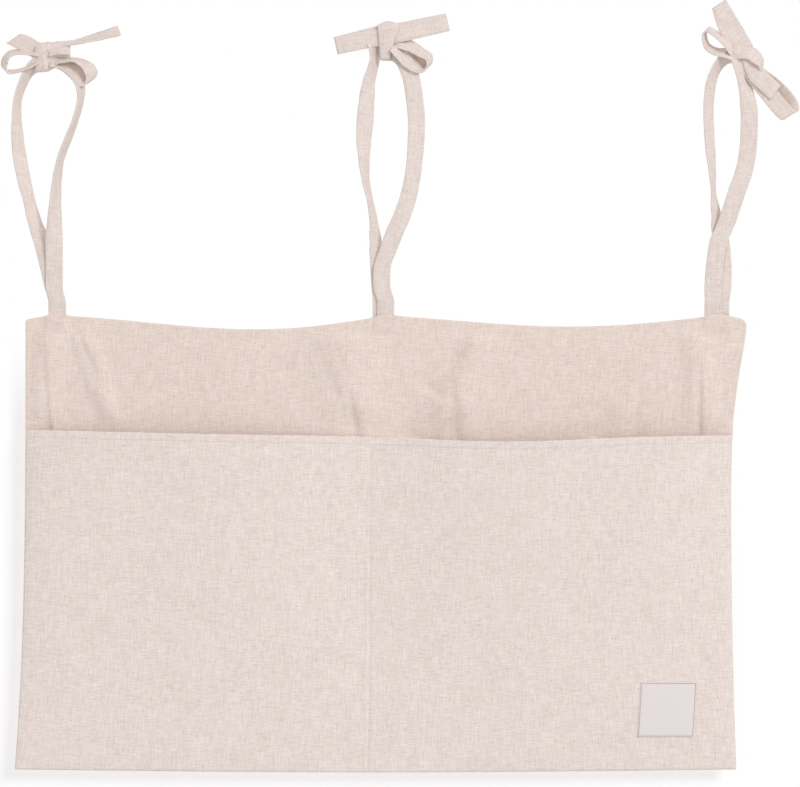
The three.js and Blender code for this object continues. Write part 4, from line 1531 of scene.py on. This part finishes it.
RIGHT_REAR = TieTape(
    Place.RIGHT,
    Side.REAR,
    run=(
        (3.7, 0.5, 0), (5, 0.5, 20), (4.9, 0.7, 42), (3, 1.2, 58, 0, 18),
        (0.4, 1.2, 72, 0, 54), (-1.4, 1, 87, 0, 72), (-2.2, 1, 101, 0, 62), (-3.4, 1, 115, 0, 52),
        (-4.4, 1, 129, 0, 51), (-4.8, 1, 142, 0, 51), (-4.2, 1, 154, -6, 50), (-2.8, 1, 162.5, -20, 52),
        (-0.4, 0.95, 169.5, -38, 54), (2.4, 0.9, 174.4, -48, 54), (6, 0.8, 178.3, -54, 48),
        (10.5, 0.7, 180.6, -60, 36),
    ),
    strands=(
        (
            (12.0, 12.0),
            (
                (19.5, 0.2, 168, 2), (20.6, 0.1, 177, 10), (20.4, 0.1, 184.6, 24),
                (18.4, 0.2, 188.6, 28), (14.8, 0.5, 195.1, 29), (10.7, 0.7, 201.9, 31),
                (2.4, 0.8, 216.3, 33),
            ),
        ),
        ((9.0, 9.0), ((14, 0.4, 187, 27), (9.4, 0.62, 194, 24), (6, 0.8, 201, 21), (2.1, 0.95, 213.4, 24))),
    ),
    root_x=3.7,
)


@dataclass
class Tie:
    """A pair of tapes sewn into the top seam and tied in a bow."""

    place: Place
    x: float
    tapes: tuple[TieTape, TieTape]
    tape: Tape = Tape()
    bend_start: float = 3.0
    bend_end: float = -1.5

    def build(self, finish: bpy.types.Material) -> list[bpy.types.Object]:
        """Makes both tapes.

        Args:
            finish: the tapes' material.

        Returns:
            The front tape and the rear tape.
        """
        made = []
        for number, item in enumerate(self.tapes):
            skin = Skin()
            seed = 10 * list(Place).index(self.place) + 5 * number + 1
            root = ROOTS[item.side] + [item.root_x, 0, 0]
            length = self.tape.add(skin, item.run, self.x, seed=seed, root=root)
            for k, part in enumerate(item.parts):
                length += self.tape.add(skin, part, self.x, seed=seed + k + 1)
            for widths, part in item.strands:
                length += self.tape.add(skin, part, self.x, widths=widths, seed=seed + 4)
            if item.wrap:
                length += item.wrap.add(skin, self.x)
            piece = skin.piece(item.name.replace("_tape", "_cloth_tape"), finish)
            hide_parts(item.name)
            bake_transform(piece)
            log.info("%s: %.0f mm of tape", piece.name, length)
            made.append(piece)
        return made


# The whole organizer


@dataclass
class Organizer:
    """The panel with its pockets, label and stitching, and the three ties.

    The lifts and the sink are how far a row's middle lies above its cloth, or below the label's face.
    """

    panel: Panel = field(default_factory=Panel)
    label: Label = Label()
    seam_start: float = 10.0
    seam_end: float = 5.0
    hem_lift: float = 0.05
    centre_lift: float = 0.02
    label_sink: float = 0.06

    def build_panel(self) -> None:
        """Makes the three cloths of the panel."""
        linen = Linen().build()
        # Painted shade: the front and rear cloths take a darker, warmer copy of the pocket's linen, standing
        # in for the shade of their folds and the warm light bounced between the cloths.
        facing = Linen("linen_panel", light=(0.885, 0.765, 0.705), dark=(0.65, 0.525, 0.46)).build()
        cloths = (("front_panel", "facing_cloth", True), ("rear_panel", "back_cloth", False))
        for name, node, is_front in cloths:
            skin = Skin()
            skin.shell(*self.panel.cloth_grid(is_front))
            cloth = skin.piece(name, facing)
            self.ride(cloth, node, "linen")
        pocket = self.panel.pocket_skin().piece("pocket_front", linen)
        self.ride(pocket, "pocket_cloth", "linen")

    def build_trim(self) -> None:
        """Makes the label and the stitching rows."""
        panel, line = self.panel, self.panel.outline
        satin = Satin().build()
        label = self.label.skin(panel).piece("ribbon_label", satin)
        self.ride(label, "label", "label")
        pale = Thread("thread_pale", (0.86, 0.77, 0.71)).build()
        brown = Thread("thread_brown", (0.42, 0.28, 0.20)).build()
        tree = StitchTree().build()
        u = np.linspace(panel.hem_row / line.width, 1 - panel.hem_row / line.width, 400)
        z = line.mouth(line.flat_x(u)) - panel.hem_row
        left, right = line.sides(z)
        route = panel.on_pocket(left + (right - left) * u, z, self.hem_lift)
        hem = StitchRow("hem_stitches").build(tree, route, pale)
        self.ride(hem, "hem_stitching", "thread")
        seam_u = (panel.centre_seam + line.half) / line.width
        start, end = float(line.mouth(panel.centre_seam)), float(line.bottom(panel.centre_seam))
        z = np.linspace(start - self.seam_start, end + self.seam_end, 120)
        left, right = line.sides(z)
        route = panel.on_pocket(left + (right - left) * seam_u, z, self.centre_lift)
        seam = StitchRow("centre_stitches").build(tree, route, pale)
        self.ride(seam, "centre_stitching", "thread")
        x, z = self.label.edge()
        row = StitchRow("label_stitches", pitch=2.0, length=1.7, thickness=0.42)
        route = panel.on_pocket(x, z, self.label.gap + self.label.thickness - self.label_sink)
        round_label = row.build(tree, route, brown)
        self.ride(round_label, "label_stitching", "thread")

    def build_ties(self) -> None:
        """Makes the three ties."""
        tape = Linen("tape", light=(0.867, 0.772, 0.728), dark=(0.64, 0.54, 0.485), edge_row=4.6 * MM).build()
        out = self.panel.outline.tie_x
        Tie(Place.LEFT, -out, (LEFT_FRONT, LEFT_REAR)).build(tape)
        Tie(Place.MIDDLE, 0, (MIDDLE_FRONT, MIDDLE_REAR)).build(tape)
        Tie(Place.RIGHT, out, (RIGHT_FRONT, RIGHT_REAR)).build(tape)

    @staticmethod
    def ride(piece: bpy.types.Object, node: str, slot: str) -> None:
        """Puts a piece on the panel in place of a node.

        Args:
            piece: the piece.
            node: the node that it replaces.
            slot: its material slot; not used.
        """
        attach(piece, "panel")
        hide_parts(node)
        log.info("%s: %d faces, for %s", piece.name, len(piece.data.polygons), node)


# The studio


@dataclass(frozen=True)
class Lamp:
    """A soft square light. Its place, aim and size are metres, its power watts."""

    name: str
    place: Point
    aim: Point
    size: float
    power: float

    def build(self) -> None:
        """Puts the lamp in the scene."""
        light = bpy.data.lights.new(self.name, "AREA")
        light.size = self.size
        light.energy = self.power
        lamp = add_object(self.name, light)
        lamp.location = self.place
        lamp.rotation_euler = (Vector(self.aim) - Vector(self.place)).to_track_quat("-Z", "Y").to_euler()


@dataclass(frozen=True)
class Studio:
    """A white wall and floor, soft lamps and the camera, all in metres.

    The wall ends at the seam, fading out from wall_fade up, so that the panel shows when it swings to the
    rear.
    """

    wall_y: float = 0.016
    wall_top: float = -0.185
    wall_fade: float = -0.26
    floor_z: float = -0.56
    floor_rear: float = 1.2
    reach: float = 6.0
    white: float = 0.62
    glow: Colour = (0.38, 0.3838, 0.3895)
    sky: float = 0.69
    lens: float = 130.0
    seat: Point = (0.0095, -2.0, -0.2309)
    clip: tuple[float, float] = (0.05, 50)
    lamps: tuple[Lamp, ...] = (
        Lamp("key", (3.2, -4.3, 2.4), (0, 0, -0.25), 2.2, 141),
        Lamp("fill", (-2.6, -4.8, -0.6), (0, 0, -0.25), 2.4, 20),
        Lamp("rear", (-2.4, 4.2, 1.2), (0, 0, -0.25), 2.2, 150),
    )

    def paper(self) -> bpy.types.Material:
        """White paper that shows from its front only and takes no light from the object.

        Returns:
            The material.
        """
        material, bench = new_material("paper")
        matt = bench.node("ShaderNodeBsdfDiffuse", {"Color": (*[self.white] * 3, 1)})
        glow = bench.node("ShaderNodeEmission", {"Color": (*self.glow, 1)})
        lit = bench.node("ShaderNodeAddShader", {0: matt.outputs[0], 1: glow.outputs[0]})
        clear = bench.node("ShaderNodeBsdfTransparent")
        solid = 1 - bench.place()[2].ease(self.wall_fade, self.wall_top)
        behind = bench.wire("ShaderNodeNewGeometry", {}, "Backfacing")
        seen = bench.wire("ShaderNodeLightPath", {}, "Is Camera Ray")
        share = seen * (1 - behind) * solid
        bench.output(bench.node("ShaderNodeMixShader", {0: share, 1: clear.outputs[0], 2: lit.outputs[0]}))
        return material

    def sheet(self, name: str, corners: Sequence[Point], finish: bpy.types.Material) -> None:
        """Adds one flat sheet of paper.

        Args:
            name: the sheet's name.
            corners: its four corners.
            finish: its material.
        """
        mesh = bpy.data.meshes.new(name)
        mesh.from_pydata(corners, [], [(0, 1, 2, 3)])
        mesh.materials.append(finish)
        add_object(name, mesh)

    def light(self) -> None:
        """Makes the lamps, and a world that is white to look at and plain as a light."""
        for lamp in self.lamps:
            lamp.build()
        world = bpy.data.worlds.new("room")
        world.use_nodes = True
        bpy.context.scene.world = world
        bench = Bench(world.node_tree)
        rays = bench.node("ShaderNodeLightPath").outputs
        seen = Wire(bench, rays["Is Camera Ray"])
        for other in ("Is Glossy Ray", "Is Transmission Ray"):
            seen = seen.maximum(Wire(bench, rays[other]))
        strength = seen * (1 - self.sky) + self.sky
        sky = bench.node("ShaderNodeBackground", {"Color": (1, 1, 1, 1), "Strength": strength})
        bench.output(sky, "ShaderNodeOutputWorld")

    def build(self) -> None:
        """Makes the stage, the lamps, the world and the camera."""
        finish = self.paper()
        far, y, z, top, rear = self.reach, self.wall_y, self.floor_z, self.wall_top, self.floor_rear
        self.sheet("wall", [(-far, y, z), (far, y, z), (far, y, top), (-far, y, top)], finish)
        self.sheet("floor", [(-far, -far, z), (far, -far, z), (far, rear, z), (-far, rear, z)], finish)
        self.light()
        camera = bpy.data.cameras.new("camera")
        camera.lens = self.lens
        camera.clip_start, camera.clip_end = self.clip
        seat = add_object("camera", camera)
        seat.location = self.seat
        seat.rotation_euler = (math.pi / 2, 0, 0)
        bpy.context.scene.camera = seat
        bpy.context.scene.view_settings.view_transform = "Standard"


def main() -> None:
    """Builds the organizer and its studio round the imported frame."""
    logging.basicConfig(level=logging.INFO, format="%(name)s: %(message)s")
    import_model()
    organizer = Organizer()
    organizer.build_panel()
    organizer.build_trim()
    organizer.build_ties()
    Studio().build()


if __name__ == "__main__":
    main()
